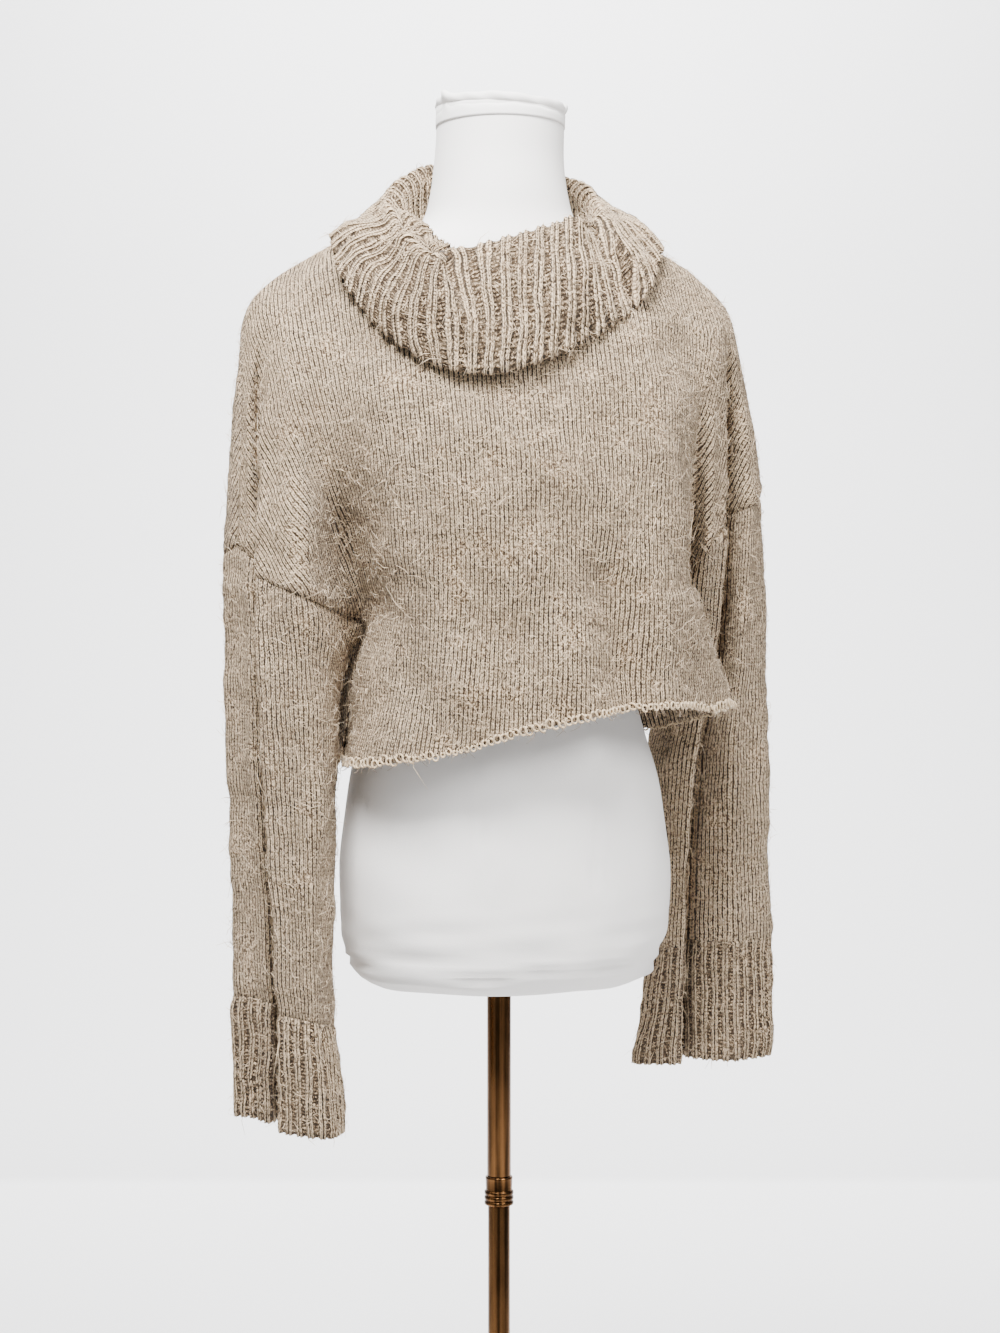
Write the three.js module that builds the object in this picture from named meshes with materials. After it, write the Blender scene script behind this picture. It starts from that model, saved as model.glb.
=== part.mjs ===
// A cropped knit sweater with a folded, ribbed cowl collar, hung on a limbless dress form on a pole
// stand. The garment is four sewn panels (front, back, two sleeves), two ribbed cuffs and a ribbed
// collar, each a thin wall that keeps the hollow shape of the hanging cloth.
// Millimetres, +Z up, the front faces -Y, the origin is on the floor under the pole.
import * as THREE from "three";
import { mergeVertices } from "three/addons/utils/BufferGeometryUtils.js";

// ---------------------------------------------------------------- driving dimensions
const KNIT_WALL = 2.4; // thickness of the plain knit panels
const RIB_WALL = 3.2; // thickness of the ribbed collar and cuffs
const SEAM_GAP = 0.3; // clearance between neighbouring pieces
const STEPS_AROUND = 2; // mesh steps between two named lines of a section
const STEPS_DOWN = 3; // mesh steps between two sections

const BASE = { radius: 180, flat: 174, rim: 9, hub: 34, hubFoot: 16, hubTop: 26, hubTopRadius: 20.4 };
const POLE = { upperRadius: 10.3, lowerRadius: 9.5, joint: 590 };
const COUPLER = { radius: 11.6, bead: 1.1, height: 25, beads: 3, beadPitch: 4.4 };
const NECK_CAP = { radius: 52, thickness: 5, edge: 1.5 };
const FORM_SIDES = 44; // facets round the dress form
const TURNED_SIDES = 32; // facets round the turned metal

const FINISHES = {
  wool: { color: 0xb9a893, roughness: 0.95, metalness: 0 },
  rib: { color: 0xbcac98, roughness: 0.95, metalness: 0 },
  cover: { color: 0xe9e7e4, roughness: 0.8, metalness: 0 },
  bronze: { color: 0x7a4f2a, roughness: 0.3, metalness: 0.9 },
};

// ---------------------------------------------------------------- dress form
// Sections from the neck down to the flat underside. shape is the exponent of the outline:
// 2 is an ellipse, less is leaner towards the shoulder points.
const FORM_SECTIONS = table("z middle half front back shape", [
  [1532, 1, 55.5, -56, 54, 2.0],
  [1512, 1, 55, -56, 54, 2.0],
  [1485, 0, 56, -56, 56, 2.0],
  [1455, 0, 60, -59, 60, 2.0],
  [1436, 0, 66, -61, 64, 2.0],
  [1424, 0, 78, -64, 67, 1.9],
  [1414, 0, 104, -68, 70, 1.7],
  [1402, 0, 138, -72, 73, 1.6],
  [1388, 0, 162, -77, 77, 1.6],
  [1368, 0, 181, -85, 83, 1.65],
  [1346, 0, 186, -93, 88, 1.75],
  [1310, 0, 183, -105, 94, 1.85],
  [1270, 0, 171, -116, 96, 2.0],
  [1215, 1, 152, -123, 94, 2.1],
  [1160, 2, 128, -114, 87, 2.1],
  [1100, 2, 110, -101, 78, 2.1],
  [1050, 3, 107, -96, 73, 2.1],
  [1010, 3, 119, -101, 78, 2.1],
  [965, 4, 131, -108, 88, 2.1],
  [915, 5, 140, -113, 98, 2.1],
  [875, 5, 142.5, -115, 102, 2.15],
  [835, 5, 140, -114, 100, 2.2],
  [806, 4, 133, -110, 94, 2.2],
  [791, 3, 125, -104, 88, 2.2],
  [785, 3, 114, -94, 79, 2.2],
]);

// ---------------------------------------------------------------- garment lines
// Every section of the upper garment runs once round it through these named lines. The arm lines
// are read from the arm tables, the body lines from the body table.
const ARM_LINES = [
  "pitFront", "lobe", "edge", "crease", "cheek", "seam", "backOuter", "backLobe", "pitBack",
];

// The first two rings lie on the slope of the shoulders, round the neck.
const NECK_RINGS = table("half front back zFront zSide zBack shape", [
  [86, -99, 74, 1352, 1424, 1430, 2.0],
  [152, -115, 92, 1318, 1406, 1398, 1.75],
]);

const NECK_DIP = 3.4; // how sharply the neckline dips towards the centre front

// How far round from the centre front each line starts at the neck, in degrees.
const NECK_ANGLES = {
  centreFront: 0, front: 27, sideFront: 50, pitFront: 66, lobe: 73, edge: 79, crease: 84, cheek: 89,
  seam: 96, backOuter: 104, backLobe: 113, pitBack: 125, sideBack: 142, back: 161, centreBack: 180,
};

// Body sections: tip of the shoulder, upper chest, bust, underarm, just below it, waist, hem.
// Left is -X.
const BODY_SECTIONS = table(
  `zFront zBack yFront yBack xFrontL yFrontL xFrontR yFrontR xBackL yBackL xBackR yBackR`, [
  [1282, 1348, -125, 99, 106, -108, 108, -108, 102, 98, 102, 98],
  [1232, 1285, -138, 108, 112, -118, 118, -118, 96, 108, 96, 108],
  [1172, 1200, -143, 112, 106, -118, 128, -116, 92, 108, 96, 108],
  [1112, 1112, -143, 113, 104, -96, 138, -104, 90, 96, 104, 92],
  [1102, 1102, -143, 113, 104, -94, 142, -104, 90, 95, 112, 76],
  [1056, 1052, -145, 114, 112, -92, 152, -92, 92, 90, 132, 28],
  [1004, 990, -147, 115, 123, -96, 168, -82, 96, 88, 138, 30],
]);

// The side seams below the underarm, and how high the cut hem runs along each line.
const SIDE_SEAMS = {
  left: table("x y z", [[-119, -20, 1085], [-129, -22, 1040], [-139, -18, 975]]),
  right: table("x y z", [[155, -14, 1121], [182, -40, 1060], [197, -42, 1019]]),
};
const HEM_HEIGHTS = {
  left: { front: 986, sideFront: 975, sideBack: 980, back: 984 },
  right: { front: 1020, sideFront: 1018, sideBack: 998, back: 994 },
};

// Arm sections: shoulder tip, upper arm, above the seam, sleeve seam, upper sleeve, elbow, cuff top,
// cuff end.
// x is measured outwards. lobe and edge are the front fold, crease is the trough behind it, cheek
// the front of the outer fold, seam the hanging end of the shoulder seam.
const ARM_COLUMNS = "zOuter zInner " + ARM_LINES.map((line) => `x_${line} y_${line}`).join(" ");
const LEFT_ARM = table(ARM_COLUMNS, [
  [1364, 1322, 150, -70, 176, -58, 190, -42, 199, -27, 206, -12, 211, 8, 208, 32, 184, 62, 148, 84],
  [1308, 1262, 160, -80, 186, -72, 202, -48, 206, -28, 214, -18, 221, 2, 222, 28, 196, 68, 146, 98],
  [1235, 1180, 148, -64, 184, -84, 208, -56, 207, -34, 216, -22, 224, -4, 231, 26, 198, 70, 138, 94],
  [1154, 1094, 124, -25, 182, -92, 213, -60, 208, -38, 218, -22, 227, -4, 239, 24, 198, 66, 124, -15],
  [1062, 1052, 140, -35, 177, -86, 210, -62, 206, -38, 215, -24, 226, -7, 237, 21, 196, 60, 140, -9],
  [925, 915, 147, -40, 172, -80, 204, -60, 200, -38, 211, -26, 223, -8, 234, 18, 194, 52, 148, -10],
  [778, 758, 148, -40, 168, -76, 193, -56, 190, -36, 202, -28, 217, -14, 232, 12, 192, 40, 149, -12],
  [678, 668, 141, -42, 164, -78, 192, -56, 189, -36, 202, -30, 216, -16, 230, 8, 188, 36, 143, -16],
]);
const RIGHT_ARM = table(ARM_COLUMNS, [
  [1370, 1328, 150, -70, 170, -58, 182, -44, 190, -30, 198, -13, 204, 8, 202, 32, 180, 62, 146, 84],
  [1325, 1272, 162, -66, 174, -60, 188, -44, 195, -23, 208, -18, 217, 8, 213, 36, 186, 68, 146, 98],
  [1268, 1200, 160, -46, 173, -52, 190, -38, 196, -14, 214, -20, 230, 10, 225, 42, 194, 72, 142, 94],
  [1203, 1131, 158, -16, 174, -46, 192, -36, 197, -10, 220, -20, 241, 14, 234, 46, 198, 72, 156, -6],
  [1066, 1050, 168, 18, 177, 3, 191, -4, 197, 14, 216, -8, 246, 18, 238, 52, 200, 75, 162, 54],
  [985, 970, 150, 38, 162, 20, 179, 12, 185, 30, 212, 2, 249, 22, 242, 56, 202, 76, 150, 64],
  [812, 800, 152, 38, 155, 22, 168, 15, 174, 32, 212, 4, 254, 26, 247, 56, 206, 74, 154, 62],
  [706, 702, 129, 32, 140, 16, 160, 10, 172, 28, 214, 6, 257, 28, 247, 54, 200, 68, 134, 52],
]);
const SLEEVE_START = 3; // row of the sleeve seam in the arm tables
const CUFF_START = 6; // row of the cuff top
const SLEEVE_TRIM = 0.6; // how far a sleeve's ends are pulled back from its seams
const UNDERARM_EASE = 10; // how far the sleeve's inner edge starts outside the body's side seam

// ---------------------------------------------------------------- collar
// Stations of the cowl from the back round by the left: where the tube folds over, and where the
// turned-down edge ends.
const COLLAR_STATIONS = table("xFold yFold zFold xEdge yEdge zEdge", [
  [4, 84, 1502, 2, 110, 1399], // back
  [-44, 75, 1497, -62, 103, 1399],
  [-74, 54, 1480, -110, 68, 1402],
  [-95, 20, 1453, -136, 28, 1417],
  [-98, -23, 1437, -148, -24, 1414], // dimple of the left roll
  [-97, -60, 1416, -146, -66, 1375],
  [-92, -90, 1395, -122, -99, 1331], // left lobe
  [-80, -109, 1379, -92, -120, 1304],
  [-66, -98, 1391, -60, -129, 1292], // recess behind the ridge
  [-22, -103, 1403, -28, -132, 1291], // centre front
  [22, -97, 1417, 12, -130, 1303],
  [48, -84, 1427, 42, -122, 1316],
  [64, -66, 1427, 68, -110, 1332], // tuck under the right roll
  [80, -42, 1438, 103, -95, 1361],
  [87, 4, 1458, 134, -36, 1417], // right roll
  [82, 46, 1482, 122, 42, 1413],
  [50, 76, 1497, 68, 100, 1399],
]);
const COLLAR_FOLD_RADIUS = 7;
const COLLAR_BULGE = 9; // how far the turned-down layer bows outwards
const COLLAR_STAND = 6; // how far the standing layer bows upwards between its foot and the fold
const COLLAR_SEAM_RISE = 4; // height of the collar's foot above the neckline

// ---------------------------------------------------------------- small tools
function table(columns, rows) {
  const names = columns.trim().split(/\s+/);
  return rows.map((row) => Object.fromEntries(row.map((value, i) => [names[i], value])));
}

const WELD = 1e-4; // points nearer than this are one point

const vec = (x, y, z) => new THREE.Vector3(x, y, z);

// A smooth line through points, sampled with the same number of steps between each two.
function smoothLine(points, steps, closed = false) {
  const curve = new THREE.CatmullRomCurve3(points, closed, "centripetal");
  const spans = closed ? points.length : points.length - 1;
  const count = spans * steps + (closed ? 0 : 1);
  return Array.from({ length: count }, (_, i) => curve.getPoint(i / (spans * steps)));
}

// Rows of sections become a grid with more rows, smooth down every column.
function fillDown(sections, steps) {
  const columns = sections[0].map((_, i) => smoothLine(sections.map((section) => section[i]), steps));
  return columns[0].map((_, j) => columns.map((column) => column[j]));
}

// Outward normals of a grid of rows whose last column meets its first.
function gridNormals(grid) {
  const columns = grid[0].length;
  const at = (j, i) => grid[THREE.MathUtils.clamp(j, 0, grid.length - 1)][(i + columns) % columns];
  return grid.map((row, j) => row.map((_, i) => {
    const along = at(j, i + 1).clone().sub(at(j, i - 1));
    const down = at(j + 1, i).clone().sub(at(j - 1, i));
    return down.cross(along).normalize();
  }));
}

function solid(name, geometry, finish) {
  const clean = mergeVertices(geometry, WELD);
  clean.computeVertexNormals();
  const mesh = new THREE.Mesh(clean, new THREE.MeshStandardMaterial(finish));
  mesh.name = name;
  return mesh;
}

// A geometry from a list of points, every three of which are a triangle.
function geometryOf(corners) {
  const geometry = new THREE.BufferGeometry();
  const positions = corners.flatMap((p) => [p.x, p.y, p.z]);
  geometry.setAttribute("position", new THREE.Float32BufferAttribute(positions, 3));
  geometry.setIndex(corners.map((_, i) => i));
  return geometry;
}

// A thin wall on a grid of rows: the cloth lies outset outside the grid and inset inside it.
// isCloth says which quads are there, normalAt gives the outward direction at a point, and trim
// pulls the cut edges back along the cloth.
function wall(grid, { closed = false, isCloth = () => true, normalAt, outset, inset, trim = SEAM_GAP }) {
  const rows = grid.length;
  const columns = grid[0].length;
  const spans = closed ? columns : columns - 1;
  const quads = [];
  for (let j = 0; j < rows - 1; j++) {
    for (let i = 0; i < spans; i++) {
      const next = (i + 1) % columns;
      if (isCloth(j, i)) quads.push([[j, i], [j, next], [j + 1, next], [j + 1, i]]);
    }
  }
  const index = ([j, i]) => j * columns + i;
  const point = new Map();
  quads.forEach((quad) => quad.forEach((corner) => point.set(index(corner), grid[corner[0]][corner[1]])));

  const edges = new Map();
  quads.forEach((quad) => quad.map(index).forEach((from, k, corners) => {
    const to = corners[(k + 1) % corners.length];
    edges.set(`${from}>${to}`, [from, to]);
  }));
  const rims = [...edges.values()].filter(([from, to]) => !edges.has(`${to}>${from}`));
  const onRim = new Set(rims.flat());

  // the middle of the cloth round each rim point shows which way its edge is pulled back
  const middle = new Map([...onRim].map((k) => [k, { sum: vec(0, 0, 0), count: 0 }]));
  quads.forEach((quad) => {
    const centre = vec(0, 0, 0);
    quad.forEach(([j, i]) => centre.addScaledVector(grid[j][i], 0.25));
    quad.map(index).filter((k) => onRim.has(k)).forEach((k) => {
      middle.get(k).sum.add(centre);
      middle.get(k).count += 1;
    });
  });

  const outside = new Map();
  const inside = new Map();
  for (const [k, p] of point) {
    const normal = normalAt(p);
    const place = p.clone();
    if (onRim.has(k)) {
      const { sum, count } = middle.get(k);
      const inward = sum.multiplyScalar(1 / count).sub(p);
      inward.addScaledVector(normal, -inward.dot(normal));
      place.addScaledVector(inward.normalize(), trim);
    }
    outside.set(k, place.clone().addScaledVector(normal, outset));
    inside.set(k, place.clone().addScaledVector(normal, -inset));
  }

  const corners = [];
  const quadFaces = (a, b, c, d) => corners.push(a, b, c, a, c, d);
  quads.forEach((quad) => {
    const [a, b, c, d] = quad.map(index);
    quadFaces(outside.get(d), outside.get(c), outside.get(b), outside.get(a));
    quadFaces(inside.get(b), inside.get(c), inside.get(d), inside.get(a));
  });
  rims.forEach(([a, b]) => quadFaces(outside.get(a), outside.get(b), inside.get(b), inside.get(a)));
  return geometryOf(corners);
}

// Rings of points stacked from the top down and closed by flat ends.
function loft(rings) {
  const count = rings[0].length;
  const corners = [];
  rings.slice(1).forEach((ring, j) => ring.forEach((p, i) => {
    const next = (i + 1) % count;
    corners.push(rings[j][i], p, ring[next], rings[j][i], ring[next], rings[j][next]);
  }));
  const cap = (ring, up) => {
    const centre = vec(0, 0, 0);
    ring.forEach((p) => centre.addScaledVector(p, 1 / count));
    ring.forEach((p, i) => {
      const next = ring[(i + 1) % count];
      corners.push(centre, ...(up ? [p, next] : [next, p]));
    });
  };
  cap(rings[0], true);
  cap(rings[rings.length - 1], false);
  return geometryOf(corners);
}

// A point of an outline at a turn of angle from the front, with its own depth to front and back.
function onOutline({ middle = 0, half, front, back, shape }, angle) {
  const power = 2 / shape;
  const across = Math.sin(angle);
  const along = -Math.cos(angle);
  const reach = along < 0 ? -front : back;
  return [
    middle + half * Math.sign(across) * Math.abs(across) ** power,
    reach * Math.sign(along) * Math.abs(along) ** power,
  ];
}

// ---------------------------------------------------------------- garment sections
const mix = THREE.MathUtils.lerp;

// How far each line's height rises from the inner end of its section to the outer one, or from the
// middle of the body to the side.
const ARM_RISE = {
  pitFront: 0, lobe: 0.3, edge: 0.55, crease: 0.7, cheek: 0.85, seam: 1, backOuter: 0.8,
  backLobe: 0.45, pitBack: 0,
};
const BODY_RISE = {
  centreFront: 0, front: 0.18, sideFront: 0.55, centreBack: 0, back: 0.15, sideBack: 0.5,
};
const NARROW = 0.53; // the front and back lines lie this share of the way out to the side lines
const ROUNDING = 0.2; // and this share of the way back to them

const rightHalf = ["front", "sideFront", ...ARM_LINES, "sideBack", "back"];
const leftHalf = [...rightHalf].reverse();
const LOOP = [["centreFront", 1], ...rightHalf.map((line) => [line, 1]), ["centreBack", 1],
  ...leftHalf.map((line) => [line, -1])];
const NECK_ROWS = NECK_RINGS.length;

function neckPoint(ring, line, side) {
  const angle = THREE.MathUtils.degToRad(NECK_ANGLES[line]);
  const [x, y] = onOutline(ring, angle);
  const end = angle < Math.PI / 2 ? ring.zFront : ring.zBack;
  return vec(side * x, y, mix(ring.zSide, end, Math.abs(Math.cos(angle)) ** NECK_DIP));
}

function armPoint(row, line, side) {
  return vec(side * row[`x_${line}`], row[`y_${line}`], mix(row.zInner, row.zOuter, ARM_RISE[line]));
}

function bodyPoint(row, line, side, pit) {
  const hand = side < 0 ? "L" : "R";
  const atFront = line.toLowerCase().includes("front");
  const face = atFront ? "Front" : "Back";
  const z = mix(row[`z${face}`], pit, BODY_RISE[line]);
  const middle = vec(0, row[`y${face}`], z);
  if (line.startsWith("centre")) return middle;
  const outer = vec(side * row[`x${face}${hand}`], row[`y${face}${hand}`], z);
  if (line.startsWith("side")) return outer;
  return vec(outer.x * NARROW, mix(middle.y, outer.y, ROUNDING), z);
}

// Section of the upper garment, once round body and arms.
function upperSection(rowNumber) {
  const points = LOOP.map(([line, side]) => {
    if (rowNumber < NECK_ROWS) return neckPoint(NECK_RINGS[rowNumber], line, side);
    const arm = (side < 0 ? LEFT_ARM : RIGHT_ARM)[rowNumber - NECK_ROWS];
    if (ARM_LINES.includes(line)) return armPoint(arm, line, side);
    return bodyPoint(BODY_SECTIONS[rowNumber - NECK_ROWS], line, side, arm.zInner);
  });
  return smoothLine(points, STEPS_AROUND, true);
}

// Section of the body below the underarm, where front and back meet at the side seams.
const LOWER_LOOP = LOOP.filter(([line]) => !ARM_LINES.includes(line) || line === "pitFront");
function lowerSection(rowNumber) {
  const body = BODY_SECTIONS[SLEEVE_START + 1 + rowNumber];
  const atHem = rowNumber === SIDE_SEAMS.left.length - 1;
  const points = LOWER_LOOP.map(([line, side]) => {
    const hand = side < 0 ? "left" : "right";
    const seam = SIDE_SEAMS[hand][rowNumber];
    if (line === "pitFront") return vec(seam.x, seam.y, seam.z);
    const point = bodyPoint(body, line, side, seam.z);
    if (atHem && !line.startsWith("centre")) point.z = HEM_HEIGHTS[hand][line];
    return point;
  });
  return smoothLine(points, STEPS_AROUND, true);
}

// Section of a sleeve. Its first section follows the cut edge of the body from lobe to back lobe.
function sleeveSection(rows, side, rowNumber, armhole) {
  const ease = rowNumber === SLEEVE_START ? UNDERARM_EASE : 0;
  const points = ARM_LINES.map((line) => {
    const point = armPoint(rows[rowNumber], line, side);
    if (line.startsWith("pit")) point.add(vec(side * ease, 0, -ease));
    return point;
  });
  const section = smoothLine(points, STEPS_AROUND, true);
  if (rowNumber === SLEEVE_START) {
    const from = ARM_LINES.indexOf("lobe") * STEPS_AROUND;
    const to = ARM_LINES.indexOf("backLobe") * STEPS_AROUND;
    for (let i = from; i <= to; i++) section[i] = armhole[i];
  }
  return side < 0 ? section.reverse() : section;
}

// ---------------------------------------------------------------- garment grids
const lineColumn = (loop, line, side) =>
  STEPS_AROUND * loop.findIndex(([l, s]) => l === line && s === side);
const column = {
  seamLeft: lineColumn(LOOP, "seam", -1),
  seamRight: lineColumn(LOOP, "seam", 1),
  pitFrontLeft: lineColumn(LOOP, "pitFront", -1),
  pitFrontRight: lineColumn(LOOP, "pitFront", 1),
  pitBackLeft: lineColumn(LOOP, "pitBack", -1),
  pitBackRight: lineColumn(LOOP, "pitBack", 1),
};
const UPPER_ROWS = NECK_ROWS + SLEEVE_START + 1;
const upper = Array.from({ length: UPPER_ROWS }, (_, row) => upperSection(row));
const lower = SIDE_SEAMS.left.map((_, row) => lowerSection(row));

// Columns first to last of a ring, going round past its start where needed.
function stretch(ring, first, last) {
  const count = ring.length;
  const length = ((last - first + count) % count) + 1;
  return Array.from({ length }, (_, k) => ring[(first + k) % count]);
}

// A panel from one hanging shoulder seam to the other. Its arm columns end at the sleeve seam and
// its body columns run on down to the hem.
function panelGrid(first, last, bodyFirst, bodyLast, lowerFirst, lowerLast) {
  const upperPart = upper.map((ring) => stretch(ring, first, last));
  const bodyStart = (bodyFirst - first + upper[0].length) % upper[0].length;
  const lowerPart = lower.map((ring) => stretch(ring, lowerFirst, lowerLast));
  const bodyColumns = lowerPart[0].length;
  const columns = upperPart[0].map((_, i) => {
    const down = upperPart.map((ring) => ring[i]);
    const onBody = i >= bodyStart && i < bodyStart + bodyColumns;
    const onSideSeam = i === bodyStart || i === bodyStart + bodyColumns - 1;
    const below = onBody ? lowerPart.map((ring) => ring[i - bodyStart]) : [];
    const line = onSideSeam
      ? [...smoothLine([...down, below[0]], STEPS_DOWN), ...smoothLine(below, STEPS_DOWN).slice(1)]
      : smoothLine([...down, ...below], STEPS_DOWN);
    while (line.length < (UPPER_ROWS + lower.length - 1) * STEPS_DOWN + 1) line.push(line[line.length - 1]);
    return line;
  });
  const grid = columns[0].map((_, j) => columns.map((line) => line[j]));
  const seamRow = (UPPER_ROWS - 1) * STEPS_DOWN;
  const isCloth = (j, i) => j < seamRow || (i >= bodyStart && i < bodyStart + bodyColumns - 1);
  return { grid, isCloth, seamRow };
}

const sideColumn = {
  left: lineColumn(LOWER_LOOP, "pitFront", -1),
  right: lineColumn(LOWER_LOOP, "pitFront", 1),
};
const front = panelGrid(column.seamLeft, column.seamRight, column.pitFrontLeft, column.pitFrontRight,
  sideColumn.left, sideColumn.right);
const back = panelGrid(column.seamRight, column.seamLeft, column.pitBackRight, column.pitBackLeft,
  sideColumn.right, sideColumn.left);

function sleeveGrid(rows, side) {
  const ring = upper[UPPER_ROWS - 1];
  const first = side > 0 ? lineColumn(LOOP, "pitFront", 1) : lineColumn(LOOP, "pitBack", -1);
  const last = side > 0 ? lineColumn(LOOP, "pitBack", 1) : lineColumn(LOOP, "pitFront", -1);
  const armhole = stretch(ring, first, last);
  if (side < 0) armhole.reverse();
  const numbers = rows.map((_, k) => k).slice(SLEEVE_START);
  const sections = numbers.map((k) => sleeveSection(rows, side, k, armhole));
  return fillDown(sections, STEPS_DOWN);
}
const sleeves = { left: sleeveGrid(LEFT_ARM, -1), right: sleeveGrid(RIGHT_ARM, 1) };
const CUFF_ROW = (CUFF_START - SLEEVE_START) * STEPS_DOWN;

// One outward direction for each point of the whole garment, shared by the pieces that meet there.
const garmentNormals = new Map();
const keyOf = (p) => [p.x, p.y, p.z].map((value) => value.toFixed(2)).join();
function addNormals(grid, closed, isCloth = () => true) {
  const columns = grid[0].length;
  for (let j = 0; j < grid.length - 1; j++) {
    for (let i = 0; i < (closed ? columns : columns - 1); i++) {
      if (!isCloth(j, i)) continue;
      const next = (i + 1) % columns;
      const quad = [grid[j][i], grid[j][next], grid[j + 1][next], grid[j + 1][i]];
      const down = quad[3].clone().add(quad[2]).sub(quad[0]).sub(quad[1]);
      const along = quad[1].clone().add(quad[2]).sub(quad[0]).sub(quad[3]);
      const normal = down.cross(along).normalize();
      quad.map(keyOf).forEach((key) => {
        garmentNormals.set(key, (garmentNormals.get(key) ?? vec(0, 0, 0)).add(normal));
      });
    }
  }
}
addNormals(front.grid, false, front.isCloth);
addNormals(back.grid, false, back.isCloth);
addNormals(sleeves.left, true);
addNormals(sleeves.right, true);
const garmentNormal = (p) => garmentNormals.get(keyOf(p)).clone().normalize();

const knit = { normalAt: garmentNormal, outset: 0, inset: KNIT_WALL };
const rib = { normalAt: garmentNormal, outset: RIB_WALL - KNIT_WALL, inset: KNIT_WALL, closed: true };

// ---------------------------------------------------------------- collar
function collarGrid() {
  const foot = { ...NECK_RINGS[0], half: NECK_RINGS[0].half - RIB_WALL };
  foot.front += RIB_WALL;
  foot.back -= RIB_WALL;
  const sections = COLLAR_STATIONS.map((station) => {
    const turn = Math.atan2(station.xFold, -station.yFold);
    const [x, y] = onOutline(foot, turn);
    const end = Math.cos(turn) > 0 ? foot.zFront : foot.zBack;
    const neckline = mix(foot.zSide, end, Math.abs(Math.cos(turn)) ** NECK_DIP);
    const start = vec(x, y, neckline + COLLAR_SEAM_RISE);
    const fold = vec(station.xFold, station.yFold, station.zFold);
    const edge = vec(station.xEdge, station.yEdge, station.zEdge);
    const outward = vec(edge.x - fold.x, edge.y - fold.y, 0).normalize();
    const core = fold.clone().setZ(fold.z - COLLAR_FOLD_RADIUS);
    const inner = core.clone().addScaledVector(outward, -COLLAR_FOLD_RADIUS);
    const outer = core.clone().addScaledVector(outward, COLLAR_FOLD_RADIUS);
    const waist = outer.clone().lerp(edge, 0.5).addScaledVector(outward, COLLAR_BULGE);
    const stand = start.clone().lerp(inner, 0.5).add(vec(0, 0, COLLAR_STAND));
    return [start, stand, inner, fold, outer, waist, edge];
  });
  const lines = sections[0].map((_, j) => sections.map((section) => section[j]));
  return fillDown(lines.map((line) => smoothLine(line, STEPS_AROUND, true)), STEPS_AROUND);
}

// ---------------------------------------------------------------- build
const part = new THREE.Group();
const add = (name, geometry, finish) => part.add(solid(name, geometry, finish));

add("sweater_front", wall(front.grid, { ...knit, isCloth: front.isCloth }), FINISHES.wool);
add("sweater_back", wall(back.grid, { ...knit, isCloth: back.isCloth }), FINISHES.wool);
for (const [hand, grid] of Object.entries(sleeves)) {
  const plain = wall(grid.slice(0, CUFF_ROW + 1), { ...knit, closed: true, trim: SLEEVE_TRIM });
  add(`sleeve_${hand}`, plain, FINISHES.wool);
  add(`cuff_${hand}`, wall(grid.slice(CUFF_ROW), rib), FINISHES.rib);
}

const collar = collarGrid();
const collarNormals = gridNormals(collar);
const collarNormalOf = new Map();
collar.forEach((row, j) => row.forEach((p, i) => collarNormalOf.set(p, collarNormals[j][i])));
const collarWall = wall(collar, {
  closed: true, normalAt: (p) => collarNormalOf.get(p), outset: RIB_WALL / 2, inset: RIB_WALL / 2,
});
add("collar", collarWall, FINISHES.rib);

const formRings = FORM_SECTIONS.map((section) => Array.from({ length: FORM_SIDES }, (_, i) => {
  const [x, y] = onOutline(section, (2 * Math.PI * i) / FORM_SIDES);
  return vec(x, y, section.z);
}));
add("dress_form", loft(formRings), FINISHES.cover);

// A turned piece from a profile of [radius, height] that starts and ends on the axis.
const turned = (profile) => {
  const points = profile.map(([radius, height]) => new THREE.Vector2(radius, height));
  const geometry = new THREE.LatheGeometry(points, TURNED_SIDES);
  geometry.deleteAttribute("normal");
  geometry.deleteAttribute("uv");
  return geometry.rotateX(Math.PI / 2);
};

const formTop = FORM_SECTIONS[0].z;
const formBottom = FORM_SECTIONS[FORM_SECTIONS.length - 1].z;
const capFoot = formTop + SEAM_GAP;
const capTop = capFoot + NECK_CAP.thickness;
const capDisc = turned([
  [0, capFoot], [NECK_CAP.radius, capFoot], [NECK_CAP.radius, capTop - NECK_CAP.edge],
  [NECK_CAP.radius - NECK_CAP.edge, capTop], [0, capTop],
]).translate(FORM_SECTIONS[0].middle, 0, 0);
add("neck_cap", capDisc, FINISHES.cover);

const couplerTop = POLE.joint + COUPLER.height;
const beads = Array.from({ length: COUPLER.beads }, (_, k) => {
  const middle = POLE.joint + COUPLER.beadPitch * (k + 0.5);
  return [[COUPLER.radius, middle - COUPLER.beadPitch / 2], [COUPLER.radius + COUPLER.bead, middle]];
}).flat();
const beadsTop = POLE.joint + COUPLER.beads * COUPLER.beadPitch;
const couplerProfile = [
  [0, POLE.joint], ...beads, [COUPLER.radius, beadsTop], [COUPLER.radius, couplerTop], [0, couplerTop],
];
add("pole_coupler", turned(couplerProfile), FINISHES.bronze);

const tube = (radius, from, to) => turned([[0, from], [radius, from], [radius, to], [0, to]]);
const upperTube = tube(POLE.upperRadius, couplerTop + SEAM_GAP, formBottom - SEAM_GAP);
const lowerTube = tube(POLE.lowerRadius, BASE.hubTop + SEAM_GAP, POLE.joint - SEAM_GAP);
add("pole_upper", upperTube, FINISHES.bronze);
add("pole_lower", lowerTube, FINISHES.bronze);

const baseProfile = [
  [0, 0], [BASE.flat, 0], [BASE.radius, BASE.radius - BASE.flat], [BASE.radius, BASE.rim],
  [BASE.hub, BASE.hubFoot], [BASE.hubTopRadius, BASE.hubTop], [0, BASE.hubTop],
];
add("stand_base", turned(baseProfile), FINISHES.bronze);

export default part;
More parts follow.
